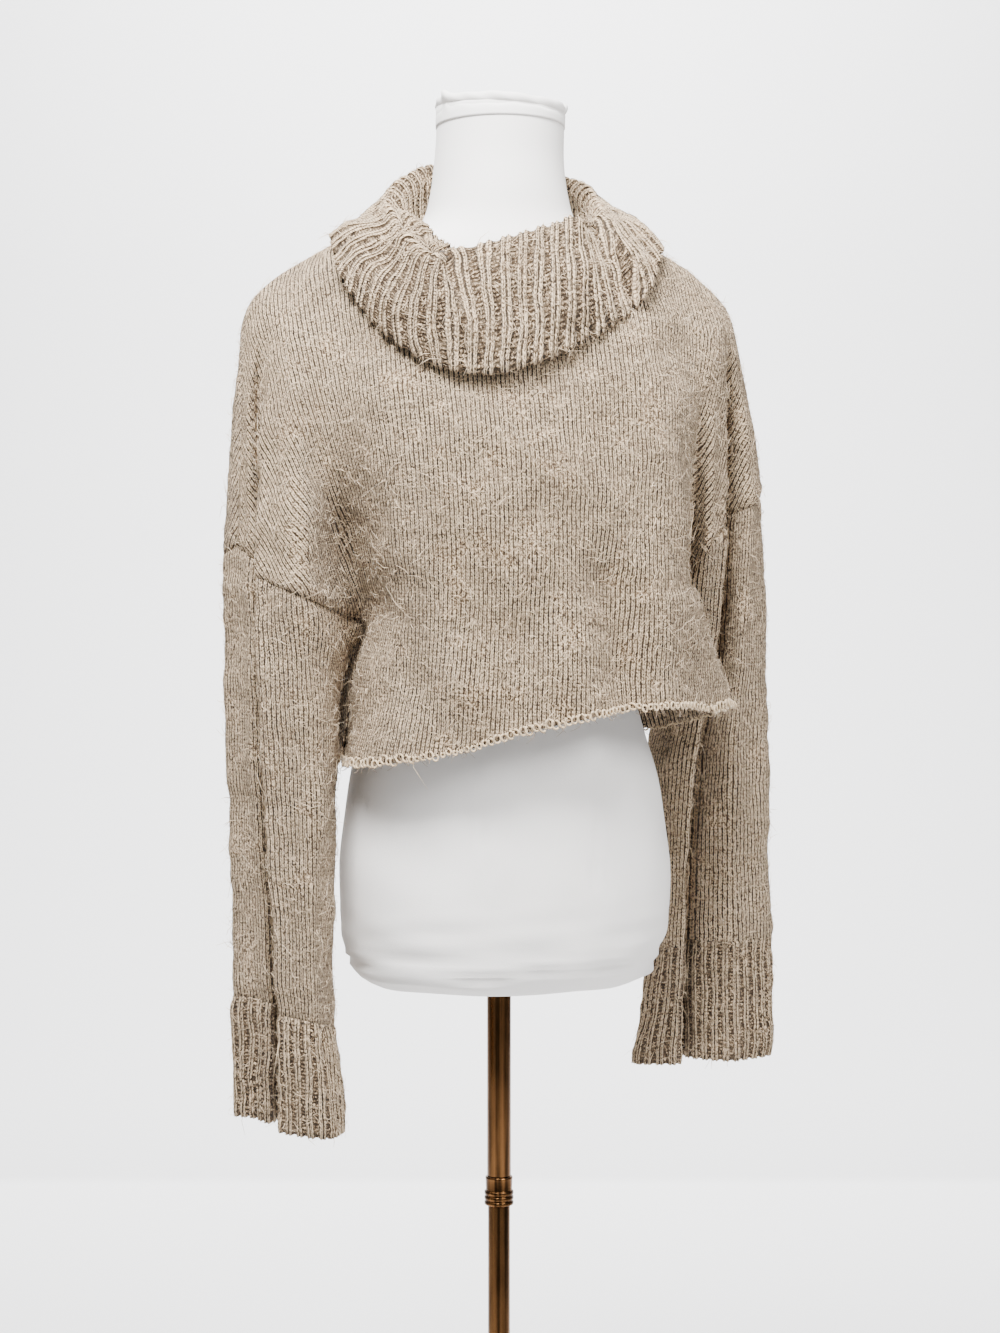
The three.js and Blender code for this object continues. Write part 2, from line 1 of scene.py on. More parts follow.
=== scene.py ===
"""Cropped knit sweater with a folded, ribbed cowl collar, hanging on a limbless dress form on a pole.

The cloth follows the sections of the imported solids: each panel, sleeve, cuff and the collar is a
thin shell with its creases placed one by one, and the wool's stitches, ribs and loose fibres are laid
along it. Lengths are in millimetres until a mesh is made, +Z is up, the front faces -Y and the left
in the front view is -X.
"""
import math

import bpy
import numpy as np
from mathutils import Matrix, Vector


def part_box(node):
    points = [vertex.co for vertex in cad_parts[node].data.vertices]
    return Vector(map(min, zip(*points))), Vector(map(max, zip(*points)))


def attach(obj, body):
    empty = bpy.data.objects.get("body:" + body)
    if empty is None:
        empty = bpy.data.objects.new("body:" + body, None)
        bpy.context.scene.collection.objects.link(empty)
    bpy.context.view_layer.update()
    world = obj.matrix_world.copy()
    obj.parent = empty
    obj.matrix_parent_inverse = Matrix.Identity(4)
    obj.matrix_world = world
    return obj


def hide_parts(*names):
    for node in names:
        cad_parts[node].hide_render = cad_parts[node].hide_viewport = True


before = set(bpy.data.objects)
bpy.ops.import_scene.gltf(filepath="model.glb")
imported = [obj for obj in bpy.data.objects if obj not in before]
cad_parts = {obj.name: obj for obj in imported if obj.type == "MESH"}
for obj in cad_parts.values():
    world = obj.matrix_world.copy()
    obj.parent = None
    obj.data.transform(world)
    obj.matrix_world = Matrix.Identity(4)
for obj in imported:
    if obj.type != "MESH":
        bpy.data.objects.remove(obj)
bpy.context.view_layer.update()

bl_info = {
    "name": "Cropped cowl sweater on a dress form",
    "version": (1, 0, 0),
    "blender": (4, 5, 0),
    "location": "View3D > Sidebar > Sweater",
    "description": "Builds a draped knit sweater on a limbless dress form with its stand",
    "category": "Object",
}

MM = 0.001
PARTS = {}  # the cloth grids that the trims and fibres are laid on, by piece name


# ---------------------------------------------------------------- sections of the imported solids
ARM_LINES = [
    "pitFront", "lobe", "edge", "crease", "cheek", "seam", "backOuter", "backLobe", "pitBack",
]
NECK_RINGS = [  # half front back zFront zSide zBack shape
    (86, -99, 74, 1352, 1424, 1430, 2.0),
    (152, -115, 92, 1318, 1406, 1398, 1.75),
]
NECK_DIP = 3.4
NECK_ANGLES = {
    "centreFront": 0, "front": 27, "sideFront": 50, "pitFront": 66, "lobe": 73, "edge": 79,
    "crease": 84, "cheek": 89, "seam": 96, "backOuter": 104, "backLobe": 113, "pitBack": 125,
    "sideBack": 142, "back": 161, "centreBack": 180,
}
BODY_KEYS = ("zFront zBack yFront yBack xFrontL yFrontL xFrontR yFrontR "
             "xBackL yBackL xBackR yBackR").split()
BODY_SECTIONS = [dict(zip(BODY_KEYS, row)) for row in [
    (1282, 1348, -125, 99, 106, -108, 108, -108, 102, 98, 102, 98),
    (1232, 1285, -138, 108, 112, -118, 118, -118, 96, 108, 96, 108),
    (1172, 1200, -143, 112, 106, -118, 128, -116, 92, 108, 96, 108),
    (1112, 1112, -143, 113, 104, -96, 138, -104, 90, 96, 104, 92),
    (1102, 1102, -143, 113, 104, -94, 142, -104, 90, 95, 112, 76),
    (1056, 1052, -145, 114, 112, -92, 152, -92, 92, 90, 132, 28),
    (1004, 990, -147, 115, 123, -96, 168, -82, 96, 88, 138, 30),
]]
SIDE_SEAMS = {
    -1: [(-119, -20, 1085), (-129, -22, 1040), (-139, -18, 975)],
    1: [(155, -14, 1121), (182, -40, 1060), (197, -42, 1019)],
}
HEM_HEIGHTS = {
    -1: {"front": 986, "sideFront": 975, "sideBack": 980, "back": 984},
    1: {"front": 1020, "sideFront": 1018, "sideBack": 998, "back": 994},
}
LEFT_ARM = [  # zOuter zInner, then x y of each arm line, x measured outwards
    (1364, 1322, 150, -70, 176, -58, 190, -42, 199, -27, 206, -12, 211, 8, 208, 32, 184, 62, 148, 84),
    (1308, 1262, 160, -80, 186, -72, 202, -48, 206, -28, 214, -18, 221, 2, 222, 28, 196, 68, 146, 98),
    (1235, 1180, 148, -64, 184, -84, 208, -56, 207, -34, 216, -22, 224, -4, 231, 26, 198, 70, 138, 94),
    (1154, 1094, 124, -25, 182, -92, 213, -60, 208, -38, 218, -22, 227, -4, 239, 24, 198, 66, 124, -15),
    (1062, 1052, 140, -35, 177, -86, 210, -62, 206, -38, 215, -24, 226, -7, 237, 21, 196, 60, 140, -9),
    (925, 915, 147, -40, 172, -80, 204, -60, 200, -38, 211, -26, 223, -8, 234, 18, 194, 52, 148, -10),
    (778, 758, 148, -40, 168, -76, 193, -56, 190, -36, 202, -28, 217, -14, 232, 12, 192, 40, 149, -12),
    (678, 668, 141, -42, 164, -78, 192, -56, 189, -36, 202, -30, 216, -16, 230, 8, 188, 36, 143, -16),
]
RIGHT_ARM = [
    (1370, 1328, 150, -70, 170, -58, 182, -44, 190, -30, 198, -13, 204, 8, 202, 32, 180, 62, 146, 84),
    (1325, 1272, 162, -66, 174, -60, 188, -44, 195, -23, 208, -18, 217, 8, 213, 36, 186, 68, 146, 98),
    (1268, 1200, 160, -46, 173, -52, 190, -38, 196, -14, 214, -20, 230, 10, 225, 42, 194, 72, 142, 94),
    (1203, 1131, 158, -16, 174, -46, 192, -36, 197, -10, 220, -20, 241, 14, 234, 46, 198, 72, 156, -6),
    (1066, 1050, 168, 18, 177, 3, 191, -4, 197, 14, 216, -8, 246, 18, 238, 52, 200, 75, 162, 54),
    (985, 970, 150, 38, 162, 20, 179, 12, 185, 30, 212, 2, 249, 22, 242, 56, 202, 76, 150, 64),
    (812, 800, 152, 38, 155, 22, 168, 15, 174, 32, 212, 4, 254, 26, 247, 56, 206, 74, 154, 62),
    (706, 702, 129, 32, 140, 16, 160, 10, 172, 28, 214, 6, 257, 28, 247, 54, 200, 68, 134, 52),
]
ARMS = {-1: LEFT_ARM, 1: RIGHT_ARM}
SLEEVE_START = 3  # row of the sleeve seam in the arm tables
CUFF_START = 6  # row of the cuff top

COLLAR_STATIONS = np.array([  # xFold yFold zFold xEdge yEdge zEdge, from the back round by the left
    (4, 84, 1502, 2, 110, 1399), (-44, 75, 1497, -62, 103, 1399), (-74, 54, 1480, -110, 68, 1402),
    (-95, 20, 1453, -136, 28, 1417), (-98, -23, 1437, -148, -24, 1414),
    (-97, -60, 1416, -146, -66, 1375), (-92, -90, 1395, -122, -99, 1331),
    (-80, -109, 1379, -92, -120, 1304), (-66, -98, 1391, -60, -129, 1292),
    (-22, -103, 1403, -28, -132, 1291), (22, -97, 1417, 12, -130, 1303),
    (48, -84, 1427, 42, -122, 1316), (64, -66, 1427, 68, -110, 1332),
    (80, -42, 1438, 103, -95, 1361), (87, 4, 1458, 134, -36, 1417), (82, 46, 1482, 122, 42, 1413),
    (50, 76, 1497, 68, 100, 1399),
], float)
COLLAR_FOLD_RADIUS = 7
COLLAR_BULGE = 9
COLLAR_STAND = 6
COLLAR_SEAM_RISE = 4

FORM_SECTIONS = np.array([  # z middle half front back shape
    (1532, 1, 55.5, -56, 54, 2.0), (1512, 1, 55, -56, 54, 2.0), (1485, 0, 56, -56, 56, 2.0),
    (1455, 0, 60, -59, 60, 2.0), (1436, 0, 66, -61, 64, 2.0), (1424, 0, 78, -64, 67, 1.9),
    (1414, 0, 104, -68, 70, 1.7), (1402, 0, 138, -72, 73, 1.6), (1388, 0, 162, -77, 77, 1.6),
    (1368, 0, 181, -85, 83, 1.65), (1346, 0, 186, -93, 88, 1.75), (1310, 0, 183, -105, 94, 1.85),
    (1270, 0, 171, -116, 96, 2.0), (1215, 1, 152, -123, 94, 2.1), (1160, 2, 128, -114, 87, 2.1),
    (1100, 2, 110, -101, 78, 2.1), (1050, 3, 107, -96, 73, 2.1), (1010, 3, 119, -101, 78, 2.1),
    (965, 4, 131, -108, 88, 2.1), (915, 5, 140, -113, 98, 2.1), (875, 5, 142.5, -115, 102, 2.15),
    (835, 5, 140, -114, 100, 2.2), (806, 4, 133, -110, 94, 2.2), (791, 3, 125, -104, 88, 2.2),
    (785, 3, 114, -94, 79, 2.2),
], float)

KNIT_WALL = 2.4
RIB_WALL = 3.2

# mesh steps: across the body, across the arm lines, and down between the sections
BODY_STEPS = 18
ARM_STEPS = 9
DOWN_STEPS = [20, 16, 20, 24, 26, 10, 14, 16]
SLEEVE_STEPS = [24, 40, 44, 34]


# ---------------------------------------------------------------- curves and grids
def lerp(a, b, t):
    return a + (b - a) * t


def ease(t):
    """0 to 1 with a soft start and a soft end."""
    t = np.clip(t, 0, 1)
    return t * t * (3 - 2 * t)


def bell(distance, width):
    """1 at no distance, falling softly to nothing some two widths away."""
    return np.exp(-(distance / width) ** 2)


def wrapped(grid):
    """A closed grid with its first column again at its end."""
    return np.concatenate([grid, grid[:, :1]], 1)


def cell_areas(grid):
    """Area of each cell of a grid."""
    u = grid[1:, 1:] - grid[:-1, :-1]
    w = grid[1:, :-1] - grid[:-1, 1:]
    return np.linalg.norm(np.cross(u, w), axis=-1) / 2


def smooth(points, steps, closed=False):
    """Centripetal Catmull-Rom lines through points, (n, 3) or (n, lines, 3).

    steps is the number of steps in each span, or one number for every span.
    """
    p = np.asarray(points, float)
    if closed:
        padded = np.concatenate([p[-1:], p, p[:2]])
    else:
        padded = np.concatenate([2 * p[:1] - p[1:2], p, 2 * p[-1:] - p[-2:-1]])
    spans = len(p) if closed else len(p) - 1
    counts = [steps] * spans if isinstance(steps, int) else steps
    rows = []
    for k in range(spans):
        p0, p1, p2, p3 = padded[k:k + 4]
        d0, d1, d2 = (np.maximum(np.linalg.norm(b - a, axis=-1, keepdims=True), 1e-9) ** 0.5
                      for a, b in ((p0, p1), (p1, p2), (p2, p3)))
        m1 = ((p1 - p0) / d0 - (p2 - p0) / (d0 + d1) + (p2 - p1) / d1) * d1
        m2 = ((p2 - p1) / d1 - (p3 - p1) / (d1 + d2) + (p3 - p2) / d2) * d1
        t = (np.arange(counts[k]) / counts[k]).reshape((-1,) + (1,) * p1.ndim)
        rows.append(p1 + m1 * t + (-3 * p1 + 3 * p2 - 2 * m1 - m2) * t ** 2
                    + (2 * p1 - 2 * p2 + m1 + m2) * t ** 3)
    if not closed:
        rows.append(p[-1:])
    return np.concatenate(rows)


def on_outline(half, front, back, shape, angle):
    """A point of an outline at a turn of angle from the front, as x and y."""
    power = 2 / shape
    across, along = np.sin(angle), -np.cos(angle)
    reach = np.where(along < 0, -front, back)
    return (half * np.sign(across) * np.abs(across) ** power,
            reach * np.sign(along) * np.abs(along) ** power)


def arc_lengths(grid, axis):
    """Length along each row (axis 1) or column (axis 0) of a grid, from its start."""
    steps = np.linalg.norm(np.diff(grid, axis=axis), axis=-1)
    return np.concatenate([np.zeros_like(np.take(steps, [0], axis)), np.cumsum(steps, axis)], axis)


def grid_normals(grid, closed):
    """Outward directions of a grid of rows."""
    if closed:
        along = np.roll(grid, -1, 1) - np.roll(grid, 1, 1)
    else:
        along = np.gradient(grid, axis=1)
    down = np.gradient(grid, axis=0)
    normal = np.cross(along, -down)
    return normal / np.maximum(np.linalg.norm(normal, axis=-1, keepdims=True), 1e-9)


def ripple(points, size, seed, waves=9):
    """Soft unevenness, mostly from -1 to 1, with waves about size long."""
    rng = np.random.default_rng(seed)
    total = np.zeros(points.shape[:-1])
    for _ in range(waves):
        direction = rng.normal(size=3)
        direction *= 2 * np.pi / size * rng.uniform(0.6, 1.5) / np.linalg.norm(direction)
        total += np.sin(points @ direction + rng.uniform(0, 2 * np.pi))
    return total / waves ** 0.5


def near_line(flat, line):
    """Distance of each point of flat (..., 2) to a smooth line, and how far along it that is."""
    path = smooth(np.column_stack([line, np.zeros(len(line))]), 8)[:, :2]
    best = np.full(flat.shape[:-1], 1e9)
    along = np.zeros(flat.shape[:-1])
    for k in range(len(path) - 1):
        a, d = path[k], path[k + 1] - path[k]
        t = np.clip(((flat - a) @ d) / (d @ d), 0, 1)
        distance = np.linalg.norm(flat - a - t[..., None] * d, axis=-1)
        closer = distance < best
        best = np.where(closer, distance, best)
        along = np.where(closer, (k + t) / (len(path) - 1), along)
    return best, along


def folds(grid, normals, lines, facing):
    """Height of listed ridges and troughs: (depth, width, [(x, z), ...]) on one face."""
    flat = grid[..., [0, 2]]
    faces = ease((normals[..., 1] * facing + 0.15) / 0.5)
    height = np.zeros(grid.shape[:-1])
    for depth, width, line in lines:
        distance, along = near_line(flat, line)
        fade = ease(along / 0.3) * ease((1 - along) / 0.3) if len(line) > 2 else 1
        height += depth * bell(distance, width) * fade * faces
    return height


def slots(grid, across, lines):
    """How far the deep folds beside each arm's front lobe run back into the sleeve."""
    depth = np.zeros(grid.shape)
    for line, reach, width, way, top in SLOTS:
        if line in lines:
            column = lines[line]
            z = grid[:, column, 2][:, None]
            signed = (across - across[:, column:column + 1]) * way
            depth[..., 1] += reach * bell(signed - 3.5, width) * ease((top - z) / 80)
    return depth


# ---------------------------------------------------------------- garment sections
ARM_RISE = dict(zip(ARM_LINES, (0, 0.3, 0.55, 0.7, 0.85, 1, 0.8, 0.45, 0)))
BODY_RISE = {
    "centreFront": 0, "front": 0.18, "sideFront": 0.55, "centreBack": 0, "back": 0.15,
    "sideBack": 0.5,
}
NARROW = 0.53
ROUNDING = 0.2

RIGHT_HALF = ["front", "sideFront", *ARM_LINES, "sideBack", "back"]
LOOP = ([("centreFront", 1)] + [(line, 1) for line in RIGHT_HALF] + [("centreBack", 1)]
        + [(line, -1) for line in reversed(RIGHT_HALF)])
LOWER_LOOP = [(line, side) for line, side in LOOP if line not in ARM_LINES or line == "pitFront"]


def span_steps(loop):
    """Steps of each span of a loop of lines: fine on the arms, wider on the body."""
    ends = zip(loop, loop[1:] + loop[:1])
    return [ARM_STEPS if a[0] in ARM_LINES and b[0] in ARM_LINES else BODY_STEPS for a, b in ends]


def line_column(loop, line, side):
    """Column of a line in the grid of a loop."""
    return sum(span_steps(loop)[:loop.index((line, side))])


def neck_point(ring, line, side):
    """Where a line crosses a ring of the neck."""
    half, front, back, z_front, z_side, z_back, shape = ring
    angle = math.radians(NECK_ANGLES[line])
    x, y = on_outline(half, front, back, shape, angle)
    end = z_front if angle < math.pi / 2 else z_back
    return (side * float(x), float(y), lerp(z_side, end, abs(math.cos(angle)) ** NECK_DIP))


def arm_point(row, line, side):
    """Where an arm line crosses a section of the arm."""
    k = 2 + 2 * ARM_LINES.index(line)
    return (side * row[k], row[k + 1], lerp(row[1], row[0], ARM_RISE[line]))


def body_point(row, line, side, pit):
    """Where a line crosses a section of the body."""
    hand = "L" if side < 0 else "R"
    face = "Front" if "front" in line.lower() else "Back"
    z = lerp(row["z" + face], pit, BODY_RISE[line])
    middle = (0, row["y" + face], z)
    if line.startswith("centre"):
        return middle
    outer = (side * row["x" + face + hand], row["y" + face + hand], z)
    if line.startswith("side"):
        return outer
    return (outer[0] * NARROW, lerp(middle[1], outer[1], ROUNDING), z)


def upper_section(number):
    """Section of the upper garment, once round body and arms."""
    points = []
    for line, side in LOOP:
        arm = ARMS[side][max(number - len(NECK_RINGS), 0)]
        if number < len(NECK_RINGS):
            points.append(neck_point(NECK_RINGS[number], line, side))
        elif line in ARM_LINES:
            points.append(arm_point(arm, line, side))
        else:
            points.append(body_point(BODY_SECTIONS[number - len(NECK_RINGS)], line, side, arm[1]))
    return smooth(points, span_steps(LOOP), closed=True)


def lower_section(number):
    """Section of the body below the underarm, where front and back meet at the side seams."""
    body = BODY_SECTIONS[SLEEVE_START + 1 + number]
    points = []
    for line, side in LOWER_LOOP:
        seam = SIDE_SEAMS[side][number]
        if line == "pitFront":
            points.append(seam)
            continue
        x, y, z = body_point(body, line, side, seam[2])
        if number == 2 and not line.startswith("centre"):
            z = HEM_HEIGHTS[side][line]
        points.append((x, y, z))
    return smooth(points, span_steps(LOWER_LOOP), closed=True)


UPPER = np.array([upper_section(k) for k in range(len(NECK_RINGS) + SLEEVE_START + 1)])
LOWER = np.array([lower_section(k) for k in range(3)])
SEAM_ROW = sum(DOWN_STEPS[:5])
LAST_ROW = sum(DOWN_STEPS)


def stretch(rings, first, last):
    """Columns first to last of closed rings, going round past their start where needed."""
    count = rings.shape[1]
    return rings[:, [(first + k) % count for k in range((last - first) % count + 1)]]


def panel(first, last, body_first, lower_first, lower_last):
    """A panel from one hanging shoulder seam to the other, with the mask of its cloth."""
    upper = stretch(UPPER, first, last)
    lower = stretch(LOWER, lower_first, lower_last)
    start = (body_first - first) % UPPER.shape[1]
    stop = start + lower.shape[1]
    grid = np.zeros((LAST_ROW + 1, upper.shape[1], 3))
    arm_part = smooth(upper, DOWN_STEPS[:5])
    grid[:SEAM_ROW + 1] = arm_part
    grid[SEAM_ROW:] = arm_part[-1]
    grid[:, start:stop] = smooth(np.concatenate([upper[:, start:stop], lower]), DOWN_STEPS)
    for column, side in ((start, 0), (stop - 1, -1)):
        down = np.concatenate([upper[:, column], lower[:1, side]])
        grid[:, column] = np.concatenate([smooth(down, DOWN_STEPS[:6]),
                                          smooth(lower[:, side], DOWN_STEPS[6:])[1:]])
    lines = {}
    for line, side in LOOP:
        column = (line_column(LOOP, line, side) - first) % UPPER.shape[1]
        if column < upper.shape[1]:
            lines[line, side] = column
    cloth = np.zeros((LAST_ROW, upper.shape[1] - 1), bool)
    cloth[:SEAM_ROW] = True
    cloth[:, start:stop - 1] = True
    return {"grid": grid, "cloth": cloth, "start": start, "stop": stop, "lines": lines}


def line_folds(grid, across, lines, creases):
    """Height of creases that run down the grid's own lines: (line, depth, width, top, bottom)."""
    height = np.zeros(grid.shape[:2])
    for line, depth, width, top, bottom in creases:
        if line not in lines:
            continue
        column = lines[line]
        z = grid[:, column, 2][:, None]
        reach = ease((top - z) / 60) * ease((z - bottom) / 30)
        distance = np.abs(across - across[:, column:column + 1])
        height += depth * bell(distance, width) * reach
    return height


def sleeve(side):
    """Grid of a sleeve and its cuff, whose first ring follows the body's cut edge all round."""
    ring = UPPER[-1:]
    if side > 0:
        edge = stretch(ring, line_column(LOOP, "pitFront", 1), line_column(LOOP, "pitBack", 1))[0]
    else:
        edge = stretch(ring, line_column(LOOP, "pitBack", -1), line_column(LOOP, "pitFront", -1))[0]
        edge = edge[::-1]
    under = smooth([edge[-1], SIDE_SEAMS[side][0], edge[0]], [ARM_STEPS // 2, ARM_STEPS - ARM_STEPS // 2])
    sections = [np.concatenate([edge, under[1:-1]])]
    for row in ARMS[side][SLEEVE_START + 1:]:
        points = [arm_point(row, line, side) for line in ARM_LINES]
        sections.append(smooth(points, ARM_STEPS, closed=True))
    grid = smooth(np.array(sections), SLEEVE_STEPS)
    return grid if side > 0 else grid[:, ::-1]


SEAM_ALLOWANCE = ((9, 5.5), (5, 4.2), (2, 2.4))  # how far up and how far in each row lies


def tucked(surface, normals):
    """Rows of seam allowance above a sleeve's first ring, turned inside the body."""
    up = surface[0] - surface[1]
    up /= np.linalg.norm(up, axis=1, keepdims=True)
    return np.array([surface[0] + up * reach - normals[0] * depth
                     for reach, depth in SEAM_ALLOWANCE])


def sleeve_lines(side):
    """Columns of the arm lines in a sleeve's grid."""
    last = ARM_STEPS * len(ARM_LINES) - 1
    columns = {line: k * ARM_STEPS for k, line in enumerate(ARM_LINES)}
    return {(line, side): k if side > 0 else last - k for line, k in columns.items()}


def collar_grid(columns):
    """Rows of the collar from its seam up, over the fold and down to the turned edge."""
    half, front, back, z_front, z_side, z_back, shape = NECK_RINGS[0]
    fold, edge = COLLAR_STATIONS[:, :3], COLLAR_STATIONS[:, 3:]
    turn = np.arctan2(fold[:, 0], -fold[:, 1])
    x, y = on_outline(half - RIB_WALL, front + RIB_WALL, back - RIB_WALL, shape, turn)
    end = np.where(np.cos(turn) > 0, z_front, z_back)
    neckline = lerp(z_side, end, np.abs(np.cos(turn)) ** NECK_DIP)
    start = np.column_stack([x, y, neckline + COLLAR_SEAM_RISE])
    outward = (edge - fold) * (1, 1, 0)
    outward /= np.linalg.norm(outward, axis=1, keepdims=True)
    up = np.array((0, 0, 1.0))
    core = fold - up * COLLAR_FOLD_RADIUS
    inner = core - outward * COLLAR_FOLD_RADIUS
    outer = core + outward * COLLAR_FOLD_RADIUS
    waist = lerp(outer, edge, 0.5) + outward * COLLAR_BULGE
    stand = lerp(start, inner, 0.5) + up * COLLAR_STAND
    lines = np.array([start, stand, inner, fold, outer, waist, edge])
    rows = np.array([smooth(line, 24, closed=True) for line in lines])
    rows = smooth(rows, [6, 6, 6, 6, 9, 10])
    # spread the columns evenly, so that every rib is equally wide halfway down the collar
    middle = np.concatenate([rows[-12], rows[-12][:1]])
    length = arc_lengths(middle[None], 1)[0]
    wanted = np.arange(columns) * length[-1] / columns
    closed_rows = wrapped(rows)
    return np.array([[np.interp(wanted, length, row[:, k]) for k in range(3)]
                     for row in closed_rows]).transpose(0, 2, 1)


# ---------------------------------------------------------------- meshes
def new_object(name, vertices, faces, uvs=None):
    """A mesh object from vertices in millimetres; uvs hold one value for each vertex."""
    mesh = bpy.data.meshes.new(name)
    mesh.from_pydata((np.asarray(vertices) * MM).tolist(), [], faces)
    mesh.validate()
    if uvs is not None:
        layer = mesh.uv_layers.new(name="stitch")
        corner = np.empty(len(mesh.loops), np.int32)
        mesh.loops.foreach_get("vertex_index", corner)
        layer.data.foreach_set("uv", np.asarray(uvs, np.float32)[corner].ravel())
    mesh.polygons.foreach_set("use_smooth", [True] * len(mesh.polygons))
    mesh.update()
    piece = bpy.data.objects.new(name, mesh)
    bpy.context.scene.collection.objects.link(piece)
    return piece


def shell(name, outer, inner, uv, closed, cloth=None):
    """A closed thin wall between two grids of rows, and the cloth's outer surface first."""
    rows, columns = outer.shape[:2]
    index = np.arange(rows * columns).reshape(rows, columns)
    if closed:
        index = wrapped(index)
        turns = round(float((uv[0, -1, 0] - uv[0, 0, 0]) * columns / (columns - 1)))
    a, b, c, d = index[:-1, :-1], index[:-1, 1:], index[1:, 1:], index[1:, :-1]
    quads = np.stack([a, b, c, d], -1)
    present = np.ones(quads.shape[:2], bool) if cloth is None else cloth
    quads = quads[present]
    total = rows * columns
    edges = {}
    for quad in quads.tolist():
        for k in range(4):
            edges[quad[k], quad[(k + 1) % 4]] = True
    rims = [(p, q) for p, q in edges if (q, p) not in edges]
    faces = quads[:, ::-1].tolist() + (quads + total).tolist()
    faces += [(p, q, q + total, p + total) for p, q in rims]
    vertices = np.concatenate([outer.reshape(-1, 3), inner.reshape(-1, 3)])
    used = np.zeros(len(vertices), bool)
    used[np.unique(quads)] = True
    used[np.unique(quads) + total] = True
    number = np.cumsum(used) - 1
    faces = [tuple(int(number[v]) for v in face) for face in faces]
    flat_uv = np.concatenate([uv.reshape(-1, 2)] * 2)[used]
    piece = new_object(name, vertices[used], faces, flat_uv)
    if closed:
        repair_wrap(piece, turns)
    return piece


def repair_wrap(piece, turns):
    """Gives the last faces of a closed tube the coordinates of its far side."""
    mesh = piece.data
    layer = mesh.uv_layers["stitch"].data
    values = np.empty(len(mesh.loops) * 2, np.float32)
    layer.foreach_get("uv", values)
    values = values.reshape(-1, 2)
    for polygon in mesh.polygons:
        span = slice(polygon.loop_start, polygon.loop_start + polygon.loop_total)
        across = values[span, 0]
        if across.max() - across.min() > turns / 2:
            values[span, 0] = np.where(across < turns / 2, across + turns, across)
    layer.foreach_set("uv", values.ravel())


def unfold(grid, cloth, centre_column):
    """Flat pattern of an open panel in millimetres, with the centre line straight down."""
    rows, columns = grid.shape[:2]
    index = np.arange(rows * columns).reshape(rows, columns)
    quads = np.stack([index[:-1, :-1], index[1:, :-1], index[1:, 1:], index[:-1, 1:]], -1)[cloth]
    used = np.unique(quads)
    number = np.zeros(rows * columns, int)
    number[used] = np.arange(len(used))
    sheet = new_object("pattern", grid.reshape(-1, 3)[used], number[quads].tolist(),
                       np.zeros((len(used), 2)))
    bpy.context.view_layer.objects.active = sheet
    sheet.select_set(True)
    bpy.ops.object.mode_set(mode="EDIT")
    bpy.ops.mesh.select_all(action="SELECT")
    bpy.ops.uv.unwrap(method="CONFORMAL", fill_holes=False, margin=0)
    bpy.ops.object.mode_set(mode="OBJECT")
    mesh = sheet.data
    corner = np.empty(len(mesh.loops), np.int32)
    mesh.loops.foreach_get("vertex_index", corner)
    flat = np.empty(len(mesh.loops) * 2, np.float32)
    mesh.uv_layers["stitch"].data.foreach_get("uv", flat)
    uv = np.zeros((rows * columns, 2))
    uv[used[corner]] = flat.reshape(-1, 2)
    bpy.data.objects.remove(sheet)
    bpy.data.meshes.remove(mesh)
    uv = uv.reshape(rows, columns, 2)
    top, bottom = uv[2, centre_column], uv[-1, centre_column]
    length = arc_lengths(grid[2:, centre_column:centre_column + 1], 0)[-1, 0]
    down = (bottom - top) / np.linalg.norm(bottom - top)
    across = np.array((-down[1], down[0]))
    if (uv[rows // 2, centre_column + 5] - uv[rows // 2, centre_column]) @ across < 0:
        across = -across
    scale = length / np.linalg.norm(bottom - top)
    return np.stack([(uv - top) @ across, (uv - top) @ down], -1) * scale


# ---------------------------------------------------------------- shading
class Value:
    """A value on its way through a material's nodes, with the usual operators."""

    def __init__(self, shader, socket):
        self.shader = shader
        self.socket = socket

    def _math(self, operation, *values):
        return self.shader.node("ShaderNodeMath", {"operation": operation}, dict(enumerate(values)))[0]

    def __add__(self, other):
        return self._math("ADD", self, other)

    def __radd__(self, other):
        return self._math("ADD", other, self)

    def __sub__(self, other):
        return self._math("SUBTRACT", self, other)

    def __rsub__(self, other):
        return self._math("SUBTRACT", other, self)

    def __mul__(self, other):
        return self._math("MULTIPLY", self, other)

    def __rmul__(self, other):
        return self._math("MULTIPLY", other, self)

    def __pow__(self, other):
        return self._math("POWER", self, other)

    def __abs__(self):
        return self._math("ABSOLUTE", self)

    def fraction(self):
        return self._math("FRACT", self)

    def clamp(self):
        return self.shader.node("ShaderNodeClamp", {}, {0: self})[0]

    def between(self, low, high):
        """0 below low, 1 above high, and a soft step between."""
        return self.shader.node("ShaderNodeMapRange", {"interpolation_type": "SMOOTHSTEP"},
                                {0: self, 1: low, 2: high})[0]


